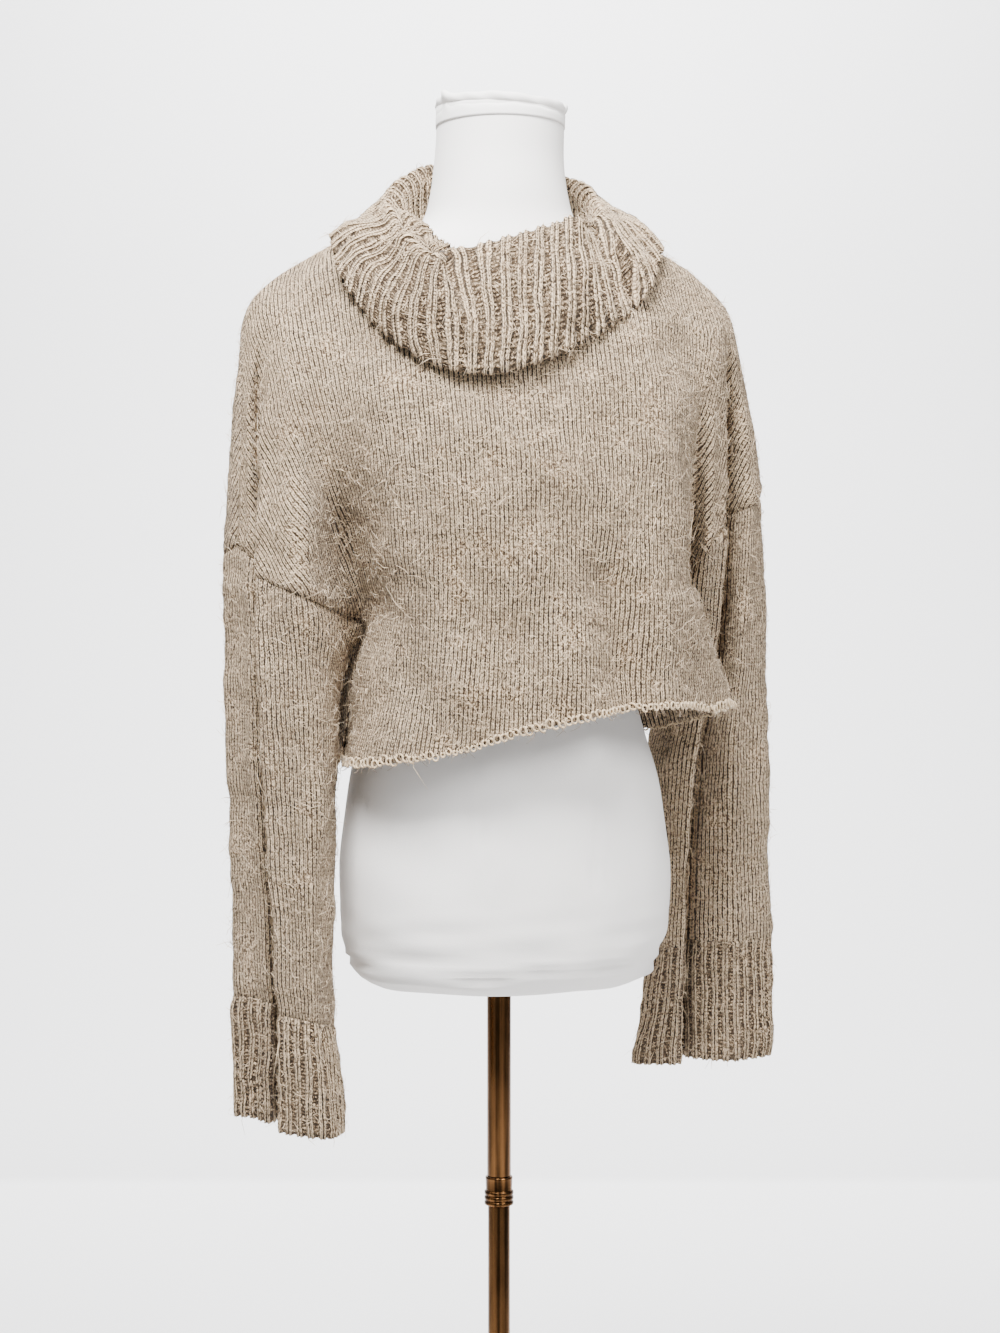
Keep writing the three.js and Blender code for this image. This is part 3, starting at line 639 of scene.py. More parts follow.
class Shader:
    """A material under construction."""

    def __init__(self, name):
        self.material = bpy.data.materials.new(name)
        self.material.use_nodes = True
        self.tree = self.material.node_tree
        self.tree.nodes.clear()

    def node(self, kind, settings, inputs):
        """A node of a kind, its settings made first, then its inputs; returns its outputs."""
        made = self.tree.nodes.new(kind)
        for key, value in settings.items():
            if key == "stops":
                ramp = made.color_ramp.elements
                while len(ramp) < len(value):
                    ramp.new(0.5)
                for element, (place, colour) in zip(ramp, value):
                    element.position, element.color = place, (*colour, 1)
            else:
                setattr(made, key, value)
        for key, value in inputs.items():
            if isinstance(value, Value):
                self.tree.links.new(value.socket, made.inputs[key])
            else:
                made.inputs[key].default_value = value
        return [Value(self, socket) for socket in made.outputs]

    def noise(self, place, scale, detail=2.0, rough=0.5):
        return self.node("ShaderNodeTexNoise", {}, {
            "Vector": place, "Scale": scale, "Detail": detail, "Roughness": rough})[0]

    def mix(self, factor, first, second, blend="MIX"):
        """One colour into another by factor."""
        colours = {6: first, 7: second}
        colours = {k: c if isinstance(c, Value) else (*c, 1) for k, c in colours.items()}
        return self.node("ShaderNodeMix", {"data_type": "RGBA", "blend_type": blend},
                         {0: factor, **colours})[2]

    def place(self):
        return self.node("ShaderNodeTexCoord", {}, {})[3]

    def stitch(self):
        uv = self.node("ShaderNodeUVMap", {"uv_map": "stitch"}, {})[0]
        return self.node("ShaderNodeSeparateXYZ", {}, {0: uv})[:2]

    def vector(self, x, y, z):
        return self.node("ShaderNodeCombineXYZ", {}, {0: x, 1: y, 2: z})[0]

    def bump(self, height, distance, strength):
        return self.node("ShaderNodeBump", {}, {
            "Height": height, "Distance": distance, "Strength": strength})[0]

    def finish(self, colour, roughness, normal, settings):
        """The surface and the output; settings are constants on the surface's own sockets."""
        inputs = {"Base Color": colour, "Roughness": roughness, **settings}
        if normal is not None:
            inputs["Normal"] = normal
        surface = self.node("ShaderNodeBsdfPrincipled", {}, inputs)[0]
        self.node("ShaderNodeOutputMaterial", {}, {0: surface})
        return self.material


def linear(hex_colour):
    """An sRGB colour such as 0xb5a48f as linear red, green and blue."""
    channels = [(hex_colour >> shift & 255) / 255 for shift in (16, 8, 0)]
    return tuple(c / 12.92 if c <= 0.04045 else ((c + 0.055) / 1.055) ** 2.4 for c in channels)


def knit_heights(u, v):
    """Height of a plain knit from 0 to 1, on u in columns of stitches and v in rows."""
    side = abs(u.fraction() * 2 - 1)
    bead = 1 - abs((v + side * 0.9).fraction() * 2 - 1) ** 2.2
    leg = 1 - abs(side * 2 - 1) ** 2.4
    groove = side.between(0.45, 0.9)
    return (leg * 0.6 + 0.4) * (bead * 0.5 + 0.5) * (1 - groove * 0.95)


def wool_material(name, tones, ribbed):
    """Fuzzy heathered wool in a plain knit or in a two by two rib, its colour following the stitch height:
    painted shade in the grooves and rib troughs, painted light on the raised yarn.
    """
    s = Shader(name)
    dark, middle, light = tones
    place = s.place()
    u, v = s.stitch()
    wander = s.noise(place, 70, 2)
    patch = s.noise(place, 38, 3, 0.6)
    grain = s.noise(place, 620, 3, 0.7)
    fleece = s.noise(s.vector(u * (2.6 if ribbed else 0.8), v * 0.28, 0), 2.6, 3, 0.65)
    u2 = u + (wander - 0.5) * (0.12 if ribbed else 0.5)
    v2 = v + (grain - 0.5) * 0.8
    felted = patch.between(0.5, 0.66) * 0.6
    if ribbed:
        across = u2.fraction()
        ridge = across.between(0.08, 0.2) * (1 - across.between(0.68, 0.8))
        knit = knit_heights((across - 0.105) * 3.03, v2)
        purl = 1 - abs(v2.fraction() * 2 - 1) ** 1.5
        height = knit * ridge + (purl * 0.35 + 0.05) * (1 - ridge)
        felted = felted * ridge
    else:
        height = knit_heights(u2, v2)
    height = height * (1 - felted) + felted * 0.46
    curls = 1 - abs(s.noise(place, 260, 2, 0.6) * 2 - 1) ** 0.5
    # Painted shade and light: the stitch height drives the colour, so the grooves between wales and the
    # troughs between ribs are painted dark and the raised yarn is painted light; fleece, grain and curls add
    # the real heathered tone.
    yarn = ((height - 0.45) * 1.9 + (fleece - 0.5) * 3.4 + (grain - 0.5) * 3.6 + 0.3
            + curls.between(0.55, 0.95) * 0.3)
    colour = s.node("ShaderNodeValToRGB", {"stops": [(0.0, dark), (0.42, middle), (1.0, light)]},
                    {0: yarn.clamp()})[0]
    cloudy = s.noise(place, 24, 3, 0.6)
    colour = s.mix(cloudy.between(0.36, 0.66) * 0.24, colour, tuple(c * 0.6 for c in middle))
    pale = s.noise(place, 130, 3, 0.65)
    colour = s.mix(pale.between(0.45, 0.7) * 0.12, colour, tuple(c * 0.9 for c in light))
    flecks = s.noise(place, 300, 2).between(0.64, 0.7)
    colour = s.mix(flecks * 0.5, colour, tuple(c * 1.45 for c in light))
    specks = s.noise(s.vector(u * 1.1, v * 0.9, 3), 1.9, 2).between(0.66, 0.74)
    colour = s.mix(specks * 0.5, colour, dark)
    normal = s.bump(height + grain * 0.6 + fleece * 0.6, 2.6 * MM, 1.0)
    return s.finish(colour, 0.95, normal, {
        "Sheen Weight": 0.06, "Sheen Roughness": 0.5, "Specular IOR Level": 0.1,
    })


def fibre_material(name, colour):
    """Loose wool fibres and the cream yarn of the raw edge."""
    s = Shader(name)
    place = s.place()
    tone = s.noise(place, 260, 2)
    shade = s.mix(tone.between(0.35, 0.65), tuple(c * 0.72 for c in colour), colour)
    twist = s.noise(place, 1800, 2)
    return s.finish(shade, 0.9, s.bump(twist, 0.3 * MM, 0.5), {
        "Sheen Weight": 0.3, "Specular IOR Level": 0.2, "Subsurface Weight": 0.0,
    })


def jersey_material(name, colour):
    """Fine white jersey with faint ribs and soft shade."""
    s = Shader(name)
    place = s.place()
    cloudy = s.noise(place, 14, 3)
    weave = s.noise(place, 1400, 2)
    shade = s.mix(cloudy.between(0.3, 0.75) * 0.25, colour, tuple(c * 0.9 for c in colour))
    shade = s.mix(weave.between(0.3, 0.7) * 0.12, shade, tuple(c * 0.8 for c in colour))
    normal = s.bump(weave, 0.35 * MM, 0.5)
    return s.finish(shade, 0.85, normal, {"Sheen Weight": 0.15, "Specular IOR Level": 0.25})


def bronze_material(name, tones):
    """Dark polished bronze with lengthways streaks."""
    s = Shader(name)
    dark, warm = tones
    place = s.place()
    x, y, z = s.node("ShaderNodeSeparateXYZ", {}, {0: place})
    streak = s.noise(s.vector(x, y, z * 0.012), 210, 2)
    blotch = s.noise(s.vector(x, y, z * 0.2), 70, 3)
    shade = s.mix((streak * 1.2 + blotch * 0.5 - 0.35).between(0.3, 0.75), dark, warm)
    rough = 0.16 + streak * 0.12 + blotch * 0.06
    normal = s.bump(streak, 0.05 * MM, 0.4)
    return s.finish(shade, rough, normal, {"Metallic": 1.0})


def studio_material(name, colour, roughness):
    """A matte surface for floor and wall, a little darker beyond the floor's edge."""
    s = Shader(name)
    x, y = s.node("ShaderNodeSeparateXYZ", {}, {0: s.place()})[:2]
    behind = y * math.cos(VIEW_TURN) - x * math.sin(VIEW_TURN)
    beyond = behind.between(FLOOR_EDGE - 0.05, FLOOR_EDGE + 0.05)
    shade = s.mix(beyond, colour, tuple(c * WALL_TONE for c in colour))
    return s.finish(shade, roughness, None, {"Specular IOR Level": 0.2})


def material(name, maker, *args):
    """The material of that name, made once."""
    return bpy.data.materials.get(name) or maker(name, *args)


def tones(settings):
    """The wool's dark, middle and light colours."""
    return tuple(tuple(c) for c in (settings.wool_dark_and_groove_shade, settings.wool_middle, settings.wool_light))


def dress(piece, finish, slot, *replaced):
    """Gives a piece its finish, its place on the frame and the solids that it stands for."""
    piece.data.materials.append(finish)
    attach(piece, "root")
    if replaced:
        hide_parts(*replaced)
    return piece


# ---------------------------------------------------------------- settings
def colour_property(name, description, colour):
    return bpy.props.FloatVectorProperty(name=name, description=description, subtype="COLOR",
                                         size=3, min=0, max=1, default=colour)


def length_property(name, description, millimetres):
    return bpy.props.FloatProperty(name=name, description=description, subtype="DISTANCE",
                                   unit="LENGTH", min=0.0001, default=millimetres * MM)


class SweaterSettings(bpy.types.PropertyGroup):
    """Sizes and colours of the wool."""
    # The dark wool colour is also the painted shade in the grooves between stitches and ribs; the light wool
    # colour is also the painted light on the raised yarn.
    wool_dark_and_groove_shade: colour_property("Dark wool", "Colour between the stitches", (0.022, 0.014, 0.008))
    wool_middle: colour_property("Wool", "Main colour of the wool", (0.185, 0.124, 0.074))
    wool_light: colour_property("Light wool", "Colour of the raised yarn", (0.7, 0.53, 0.35))
    cream: colour_property("Cream yarn", "Colour of the live loops at the hem", (0.56, 0.42, 0.26))
    column: length_property("Stitch width", "Width of a column of stitches", 3.7)
    row: length_property("Stitch height", "Height of a row of stitches", 3.0)
    cuff_ribs: bpy.props.IntProperty(name="Cuff ribs", description="Ribs round a cuff",
                                     min=8, max=80, default=34)
    collar_ribs: bpy.props.IntProperty(name="Collar ribs", description="Ribs round the collar",
                                       min=20, max=120, default=56)
    rib_height: length_property("Rib height", "How far the ribs of the collar stand out", 3.0)


class StandSettings(bpy.types.PropertyGroup):
    """Colours of the dress form and its stand."""
    cover: colour_property("Cover", "Colour of the form's jersey", (0.74, 0.72, 0.7))
    bronze_dark: colour_property("Dark bronze", "Darker tone of the metal", (0.022, 0.011, 0.0045))
    bronze_warm: colour_property("Warm bronze", "Warmer tone of the metal", (0.17, 0.08, 0.03))


# ---------------------------------------------------------------- cloth panels
FRONT_FOLDS = [  # depth, width, and the line in x and z
    (-12.0, 19, [(82, 980), (78, 1020), (70, 1070), (60, 1120), (44, 1170)]),
    (7.0, 20, [(44, 980), (42, 1030), (34, 1090), (24, 1140)]),
    (7.0, 22, [(124, 980), (120, 1040), (108, 1110), (98, 1180)]),
    (-4.0, 22, [(-60, 1200), (-50, 1140), (-20, 1080), (10, 1030)]),
    (6.5, 24, [(-96, 1190), (-86, 1120), (-66, 1050), (-54, 985)]),
    (-5.0, 20, [(-20, 1110), (-12, 1050), (-8, 985)]),
    (-3.5, 18, [(-100, 1060), (-84, 1020), (-66, 985)]),
    (3.0, 26, [(20, 1260), (8, 1190), (-4, 1120)]),
    (-3.0, 24, [(70, 1290), (84, 1230), (96, 1160), (92, 1100)]),
    (3.5, 20, [(-150, 1330), (-120, 1280), (-104, 1230)]),
]
BACK_FOLDS = [
    (-6.0, 22, [(-40, 985), (-48, 1060), (-60, 1140), (-64, 1220)]),
    (5.0, 20, [(-6, 982), (-10, 1060), (-16, 1150)]),
    (-6.5, 24, [(46, 988), (54, 1060), (66, 1150), (74, 1240)]),
    (4.0, 24, [(84, 1000), (90, 1080), (98, 1170)]),
    (-4.0, 26, [(0, 1380), (10, 1310), (4, 1240), (-6, 1180)]),
    (3.5, 24, [(-90, 1330), (-84, 1250), (-92, 1160)]),
]
SLEEVE_FOLDS = {
    -1: [
        (-2.5, 9, [(-196, 1040), (-190, 980), (-186, 900), (-190, 820)]),
        (2.5, 12, [(-168, 1040), (-166, 960), (-170, 880)]),
        (-2.0, 9, [(-158, 900), (-162, 840), (-166, 790)]),
        (-2.0, 8, [(-226, 1040), (-222, 960), (-224, 880), (-220, 800)]),
    ],
    1: [
        (-2.5, 10, [(226, 1140), (222, 1060), (228, 960), (232, 880)]),
        (2.0, 12, [(212, 1100), (214, 1000), (208, 900)]),
        (-2.0, 8, [(174, 960), (178, 900), (172, 840)]),
        (2.0, 10, [(240, 1060), (244, 960), (238, 860)]),
    ],
}
SLOTS = [  # line and side, depth, width, the way the slot lies from its line, top height
    (("crease", -1), 17, 5.0, -1, 1335), (("crease", 1), 15, 4.5, 1, 1345),
]
LINE_CREASES = [  # line and side, depth, width, top and bottom height
    (("edge", -1), 4.0, 8, 1300, 0), (("edge", 1), 3.0, 6, 1300, 0),
    (("cheek", -1), 3.0, 7, 1300, 0), (("cheek", 1), 2.0, 7, 1300, 0),
    (("backOuter", -1), -5.0, 9, 1300, 0), (("backOuter", 1), -5.5, 9, 1320, 0),
]
PIT_CREASES = [
    (("pitFront", -1), -6.0, 10, 1215, 1112), (("lobe", -1), 3.0, 16, 1240, 1110),
    (("pitFront", 1), -7.0, 6, 1290, 1140), (("lobe", 1), 3.0, 7, 1290, 1140),
    (("pitBack", -1), -5.0, 10, 1260, 1112), (("pitBack", 1), -5.0, 10, 1260, 1140),
]
SEAM_GROOVE = 1.7
SEAM_WIDTH = 4.5
SEAM_CALM = 20  # the folds fade out nearer to a shoulder seam than this


def panel_piece(name, parts, folds_here, facing, seed, settings):
    """Front or back: the hung shell, its folds, the pulled-in seams and the flat pattern."""
    grid, cloth = parts["grid"], parts["cloth"]
    normals = grid_normals(grid, closed=False)
    dead = np.ones(grid.shape[:2], bool)
    dead[:SEAM_ROW + 1] = False
    dead[:, parts["start"]:parts["stop"]] = False
    normals[dead] = normals[SEAM_ROW][None].repeat(grid.shape[0], 0)[dead]
    height = folds(grid, normals, folds_here, facing)
    across, down = arc_lengths(grid, 1), arc_lengths(grid, 0)
    from_seam = np.minimum(across, across[:, -1:] - across)
    to_sleeve = np.abs(down[SEAM_ROW] - down)
    columns = np.arange(grid.shape[1])
    on_arm = (columns <= parts["start"]) | (columns >= parts["stop"] - 1)
    to_sleeve[:, ~on_arm] = 1e3
    height += line_folds(grid, across, parts["lines"], LINE_CREASES + PIT_CREASES)
    if facing > 0:
        from_side = np.abs(across - across[:, parts["stop"] - 1:parts["stop"]])
        height += 15 * bell(from_side - 40, 24) * ease((1112 - grid[..., 2]) / 45)
    height += ripple(grid, 85, seed) * 1.6 + ripple(grid, 26, seed + 1) * 0.5
    height += ripple(grid, 9, seed + 2) * 0.22
    keep = ease(np.minimum(from_seam, to_sleeve) / 25)
    height *= np.where(from_seam > SEAM_CALM, 1.0, keep)
    for distance in (from_seam, to_sleeve):
        height -= SEAM_GROOVE * bell(distance, SEAM_WIDTH)
        height += 0.9 * bell(distance - 8, 5)
    outer = grid + normals * height[..., None] + slots(grid, across, parts["lines"])
    inner = outer - normals * KNIT_WALL
    middle = (parts["start"] + parts["stop"] - 1) // 2
    uv = unfold(grid, cloth, middle) / (settings.column / MM, settings.row / MM)
    PARTS[name] = {"outer": outer, "normals": normals, "cloth": cloth}
    return shell(name, outer, inner, uv, False, cloth)


PANELS = {  # side where a panel starts, side where it ends, and its line under the first arm
    "sweater_front": (-1, 1, "pitFront"),
    "sweater_back": (1, -1, "pitBack"),
}


def hung_panel(name):
    """A panel from one shoulder seam to the other, with its edges under the arms."""
    first, last, pit = PANELS[name]
    return panel(line_column(LOOP, "seam", first), line_column(LOOP, "seam", last),
                 line_column(LOOP, pit, first), line_column(LOWER_LOOP, "pitFront", first),
                 line_column(LOWER_LOOP, "pitFront", last))


class SWEATER_OT_panels(bpy.types.Operator):
    """Build the front and the back panel"""
    bl_idname = "sweater.panels"
    bl_label = "Front and back"

    def execute(self, context):
        settings = context.scene.sweater
        wool = material("knitted_wool", wool_material, tones(settings), False)
        for name, lines, facing, seed in (("sweater_front", FRONT_FOLDS, -1, 11),
                                          ("sweater_back", BACK_FOLDS, 1, 23)):
            parts = hung_panel(name)
            piece = panel_piece(name + "_cloth", parts, lines, facing, seed, settings)
            dress(piece, wool, "wool_knit", name)
            area = float(cell_areas(parts["grid"])[parts["cloth"]].sum()) * MM ** 2
        return {"FINISHED"}


DRAWN_IN = {-1: 0, 1: 3}  # rows from the cuff's top down to where each sleeve is drawn in
RIB_STEPS = 12  # columns of the mesh in a rib


def rib_profile(phase):
    """Two rounded columns and a trough between ribs, from 0 to 1, over a phase of 0 to 1."""
    phase = phase % 1
    first = bell(phase - 0.27, 0.13)
    second = bell(phase - 0.60, 0.13)
    return np.minimum(first + second, 1.0)


def tube_uv(grid, turns, row):
    """Coordinates of a closed tube: whole turns across, rows of stitches down."""
    share = arc_lengths(wrapped(grid), 1).mean(0)
    across = np.broadcast_to(share[:-1] / share[-1] * turns, grid.shape[:2])
    down = arc_lengths(grid, 0).mean(1, keepdims=True) / row
    return np.stack([across, np.broadcast_to(down, grid.shape[:2])], -1)


class SWEATER_OT_sleeves(bpy.types.Operator):
    """Build the two sleeves and their ribbed cuffs"""
    bl_idname = "sweater.sleeves"
    bl_label = "Sleeves and cuffs"

    def execute(self, context):
        settings = context.scene.sweater
        wool = material("knitted_wool", wool_material, tones(settings), False)
        ribs = material("ribbed_wool", wool_material, tones(settings), True)
        cuff_top = sum(SLEEVE_STEPS[:CUFF_START - SLEEVE_START])
        for side, hand in ((-1, "left"), (1, "right")):
            grid = sleeve(side)
            normals = grid_normals(grid, closed=True)
            height = sum(folds(grid, normals, SLEEVE_FOLDS[side], facing) for facing in (-1, 1))
            height += ripple(grid, 60, 31 + side) * 1.3 + ripple(grid, 22, 41 + side) * 0.5
            height += ripple(grid, 9, 43 + side) * 0.2
            down = arc_lengths(grid, 0)
            height *= ease(down / 25)
            height += line_folds(grid, arc_lengths(grid, 1), sleeve_lines(side), LINE_CREASES)
            height -= SEAM_GROOVE * bell(down, SEAM_WIDTH)
            to_cuff = down - down[cuff_top + DRAWN_IN[side]]
            height -= 1.2 * bell(to_cuff, 7)
            around = arc_lengths(grid, 1)
            outer = grid + normals * height[..., None] + slots(grid, around, sleeve_lines(side))
            extra = tucked(outer, normals)
            outer = np.concatenate([extra, outer])
            normals = np.concatenate([normals[:1]] * len(extra) + [normals])
            grid = np.concatenate([extra, grid])
            down = arc_lengths(grid, 0)
            cuff_row = cuff_top + len(extra)
            inner = outer - normals * KNIT_WALL
            plain = slice(0, cuff_row + 1)
            around = arc_lengths(wrapped(grid), 1)[:, -1]
            columns = round(float(around[plain].mean()) / (settings.column / MM))
            uv = tube_uv(grid, columns, settings.row / MM)
            name = f"sleeve_{hand}"
            piece = shell(name + "_cloth", outer[plain], inner[plain], uv[plain], True)
            dress(piece, wool, "wool_knit", name)
            PARTS[name + "_cloth"] = {"outer": outer[plain], "normals": normals[plain], "closed": True}
            self.cuff(hand, outer[cuff_row:], normals[cuff_row:], ribs, settings)
        return {"FINISHED"}

    def cuff(self, hand, grid, normals, ribs, settings):
        """A cuff, its ribs raised in the mesh."""
        count = settings.cuff_ribs
        fine = count * RIB_STEPS
        share = arc_lengths(wrapped(grid), 1).mean(0)
        spots = np.interp(np.arange(fine) / fine * share[-1], share, np.arange(len(share)))
        low = spots.astype(int)
        part = (spots - low)[None, :, None]
        after = (low + 1) % grid.shape[1]
        grid = lerp(grid[:, low], grid[:, after], part)
        normals = lerp(normals[:, low], normals[:, after], part)
        down = arc_lengths(grid, 0)
        wander = ripple(grid, 40, 77) * 0.06
        rib = rib_profile(np.arange(fine)[None] / RIB_STEPS + wander)
        start = ease(down / 8)
        height = (rib * 2.0 - 0.6) * start + ripple(grid, 12, 5) * 0.2
        end = down[-1:] - down
        height -= 0.8 * bell(end, 3)
        outer = grid + normals * height[..., None]
        outer[..., 2] -= rib * 1.5 * bell(end, 4)
        inner = outer - normals * (RIB_WALL - 0.6)
        uv = tube_uv(grid, count, settings.row / MM)
        uv[..., 0] = np.arange(fine) / RIB_STEPS + wander
        name = f"cuff_{hand}"
        piece = shell(name + "_cloth", outer, inner, uv, True)
        dress(piece, ribs, "wool_rib", name)
        around = arc_lengths(wrapped(grid), 1)[:, -1]
        PARTS[name + "_cloth"] = {"outer": outer, "normals": normals, "closed": True}


COLLAR_FOLDS = [  # depth, width, and the line in x and z
    (-3.0, 14, [(0, 1400), (2, 1360), (-2, 1320)]),
    (3.0, 14, [(34, 1400), (36, 1360), (30, 1325)]),
    (-4.0, 9, [(-124, 1408), (-116, 1392), (-104, 1380)]),
]
COLLAR_STEPS = [  # height, reach, and the line in x and z, with the upper layer on its left
    (8.0, 20, [(-84, 1418), (-78, 1398), (-68, 1370), (-52, 1336), (-38, 1300)]),
    (-7.0, 20, [(72, 1440), (76, 1414), (90, 1384), (104, 1350), (110, 1330)]),
]


def layer_steps(grid, normals, lines):
    """Height of soft steps where one layer of the collar lies over the next."""
    flat = grid[..., [0, 2]]
    faces = ease((-normals[..., 1] + 0.3) / 0.5)
    height = np.zeros(grid.shape[:-1])
    for depth, reach, line in lines:
        line = np.array(line, float)
        distance, along = near_line(flat, line)
        order = np.argsort(line[:, 1])
        side = np.sign(flat[..., 0] - np.interp(flat[..., 1], line[order, 1], line[order, 0]))
        fade = ease(along / 0.15) * ease((1 - along) / 0.4)
        signed = distance * side
        height -= depth * np.tanh(signed / 2.5) * bell(distance, reach) * fade * faces
    return height


class SWEATER_OT_collar(bpy.types.Operator):
    """Build the folded, ribbed cowl collar"""
    bl_idname = "sweater.collar"
    bl_label = "Collar"

    def execute(self, context):
        settings = context.scene.sweater
        ribs = material("ribbed_wool", wool_material, tones(settings), True)
        grid = collar_grid(settings.collar_ribs * RIB_STEPS)
        normals = grid_normals(grid, closed=True)
        down = arc_lengths(grid, 0)
        wander = ripple(grid, 70, 61) * 0.10 + ripple(grid, 25, 62) * 0.04
        rib = rib_profile(np.arange(grid.shape[1])[None] / RIB_STEPS + wander)
        end = down[-1:] - down
        height = rib * settings.rib_height / MM - 1.0
        height += ripple(grid, 45, 63) * 1.2 + ripple(grid, 12, 64) * 0.3
        height += folds(grid, normals, COLLAR_FOLDS, -1) + layer_steps(grid, normals, COLLAR_STEPS)
        height -= 1.0 * bell(end, 3)
        outer = grid + normals * (height[..., None] + RIB_WALL / 2 - 1.0)
        along = np.gradient(grid, axis=0)
        along /= np.linalg.norm(along, axis=-1, keepdims=True)
        outer += along * (rib * 2.2 * bell(end, 5))[..., None]
        inner = outer - normals * (RIB_WALL - 0.4)
        uv = tube_uv(grid, settings.collar_ribs, settings.row / MM)
        uv[..., 0] = np.arange(grid.shape[1]) / RIB_STEPS + wander
        piece = shell("collar_cloth", outer, inner, uv, True)
        dress(piece, ribs, "wool_rib", "collar")
        around = arc_lengths(wrapped(grid), 1)[:, -1]
        PARTS["collar_cloth"] = {"outer": outer, "normals": normals, "closed": True}
        return {"FINISHED"}


# ---------------------------------------------------------------- yarn and fibres
def tube(path, radii, sides):
    """Vertices and faces of a closed tube along a path."""
    path = np.asarray(path, float)
    along = np.gradient(path, axis=0)
    along /= np.maximum(np.linalg.norm(along, axis=1, keepdims=True), 1e-9)
    helper = np.array((0.31, 0.22, 0.92))
    first = np.cross(along, helper)
    first /= np.maximum(np.linalg.norm(first, axis=1, keepdims=True), 1e-9)
    second = np.cross(along, first)
    turn = np.arange(sides) * 2 * np.pi / sides
    ring = (first[:, None] * np.cos(turn)[None, :, None] + second[:, None] * np.sin(turn)[None, :, None])
    vertices = (path[:, None] + ring * np.asarray(radii)[:, None, None]).reshape(-1, 3)
    faces = []
    for j in range(len(path) - 1):
        for i in range(sides):
            a, b = j * sides + i, j * sides + (i + 1) % sides
            faces.append((a, b, b + sides, a + sides))
    faces.append(tuple(reversed(range(sides))))
    faces.append(tuple(range((len(path) - 1) * sides, len(path) * sides)))
    return vertices, faces


def joined(name, pieces):
    """One object from a list of vertices and faces."""
    vertices, faces, start = [], [], 0
    for points, polygons in pieces:
        vertices.append(points)
        faces += [tuple(v + start for v in polygon) for polygon in polygons]
        start += len(points)
    return new_object(name, np.concatenate(vertices), faces)


def hem_loop(centre, along, up, out, size, rng):
    """One live stitch of the raw edge, a small open ring of yarn."""
    turn = np.linspace(-0.42 * np.pi, 1.42 * np.pi, 11) + rng.normal(0, 0.15)
    tilt = rng.normal(0, 0.25)
    across = along * math.cos(tilt) + up * math.sin(tilt)
    rise = up * math.cos(tilt) - along * math.sin(tilt)
    lift = 0.5 + 0.8 * np.sin(turn * 0.5) ** 2
    path = (centre + np.outer(np.cos(turn) * size * 0.9, across)
            + np.outer(-np.sin(turn) * size * 1.1, rise) + np.outer(lift, out))
    return tube(path, np.full(len(path), 0.85), 6)


class SWEATER_OT_hem(bpy.types.Operator):
    """Lay the live loops and the frayed yarn along the raw hem"""
    bl_idname = "sweater.hem"
    bl_label = "Raw hem"

    def execute(self, context):
        settings = context.scene.sweater
        yarn = material("hem_yarn", fibre_material, tuple(settings.cream))
        wool = material("wool_yarn", fibre_material, tuple(settings.wool_middle))
        rng = np.random.default_rng(5)
        for name in PANELS:
            parts = hung_panel(name)
            body = slice(parts["start"], parts["stop"])
            edge = PARTS[name + "_cloth"]["outer"][-1, body]
            out = PARTS[name + "_cloth"]["normals"][-1, body]
            length = arc_lengths(edge[None], 1)[0]
            loops, ends = [], []
            spot = 3.0
            while spot < length[-1] - 3:
                here = np.array([np.interp(spot, length, edge[:, k]) for k in range(3)])
                face = np.array([np.interp(spot, length, out[:, k]) for k in range(3)])
                k = min(int(np.searchsorted(length, spot)), len(edge) - 2)
                along = edge[k + 1] - edge[k]
                along /= np.linalg.norm(along)
                up = np.cross(along, face)
                up *= np.sign(up[2])
                size = 2.7 + 0.5 * math.sin(spot * 0.031) + rng.normal(0, 0.4)
                centre = here + up * rng.normal(1.2, 0.9) + face * rng.uniform(-0.4, 0.8)
                loops.append(hem_loop(centre, along, up, face, size, rng))
                for _ in range(rng.integers(0, 3)):
                    ends.append(self.stray(centre, along, -up + face * 0.6, rng))
                spot += rng.uniform(4.6, 6.0)
            piece = joined(name.replace("sweater", "hem_loops"), loops)
            dress(piece, yarn, "wool_knit")
            piece = joined(name.replace("sweater", "hem_yarn"), ends)
            dress(piece, wool, "wool_knit")
        return {"FINISHED"}

    def stray(self, start, along, away, rng):
        """A loose end of yarn curling off the edge."""
        steps = np.linspace(0, 1, 9)[:, None]
        bend = rng.normal(0, 6, 3)
        reach = rng.uniform(5, 12)
        path = (start + away * reach * steps * 0.8 + along * reach * rng.normal(0, 0.7) * steps ** 2
                + bend * np.sin(steps * math.pi) * 0.4)
        return tube(path, lerp(0.35, 0.12, steps[:, 0]), 5)


def spots_on(part, count, rng):
    """Random places on the outer side of a grid, with their outward and along directions."""
    outer, normals = part["outer"], part["normals"]
    if part.get("closed"):
        outer = wrapped(outer)
        normals = wrapped(normals)
    area = cell_areas(outer)
    if "cloth" in part:
        area = area * part["cloth"]
    chosen = rng.choice(area.size, count, p=(area / area.sum()).ravel())
    j, i = np.unravel_index(chosen, area.shape)
    s, t = rng.random((2, count, 1))
    place = lerp(lerp(outer[j, i], outer[j, i + 1], s), lerp(outer[j + 1, i], outer[j + 1, i + 1], s), t)
    down = outer[j + 1, i] - outer[j, i]
    down /= np.maximum(np.linalg.norm(down, axis=1, keepdims=True), 1e-9)
    return place, normals[j, i], down


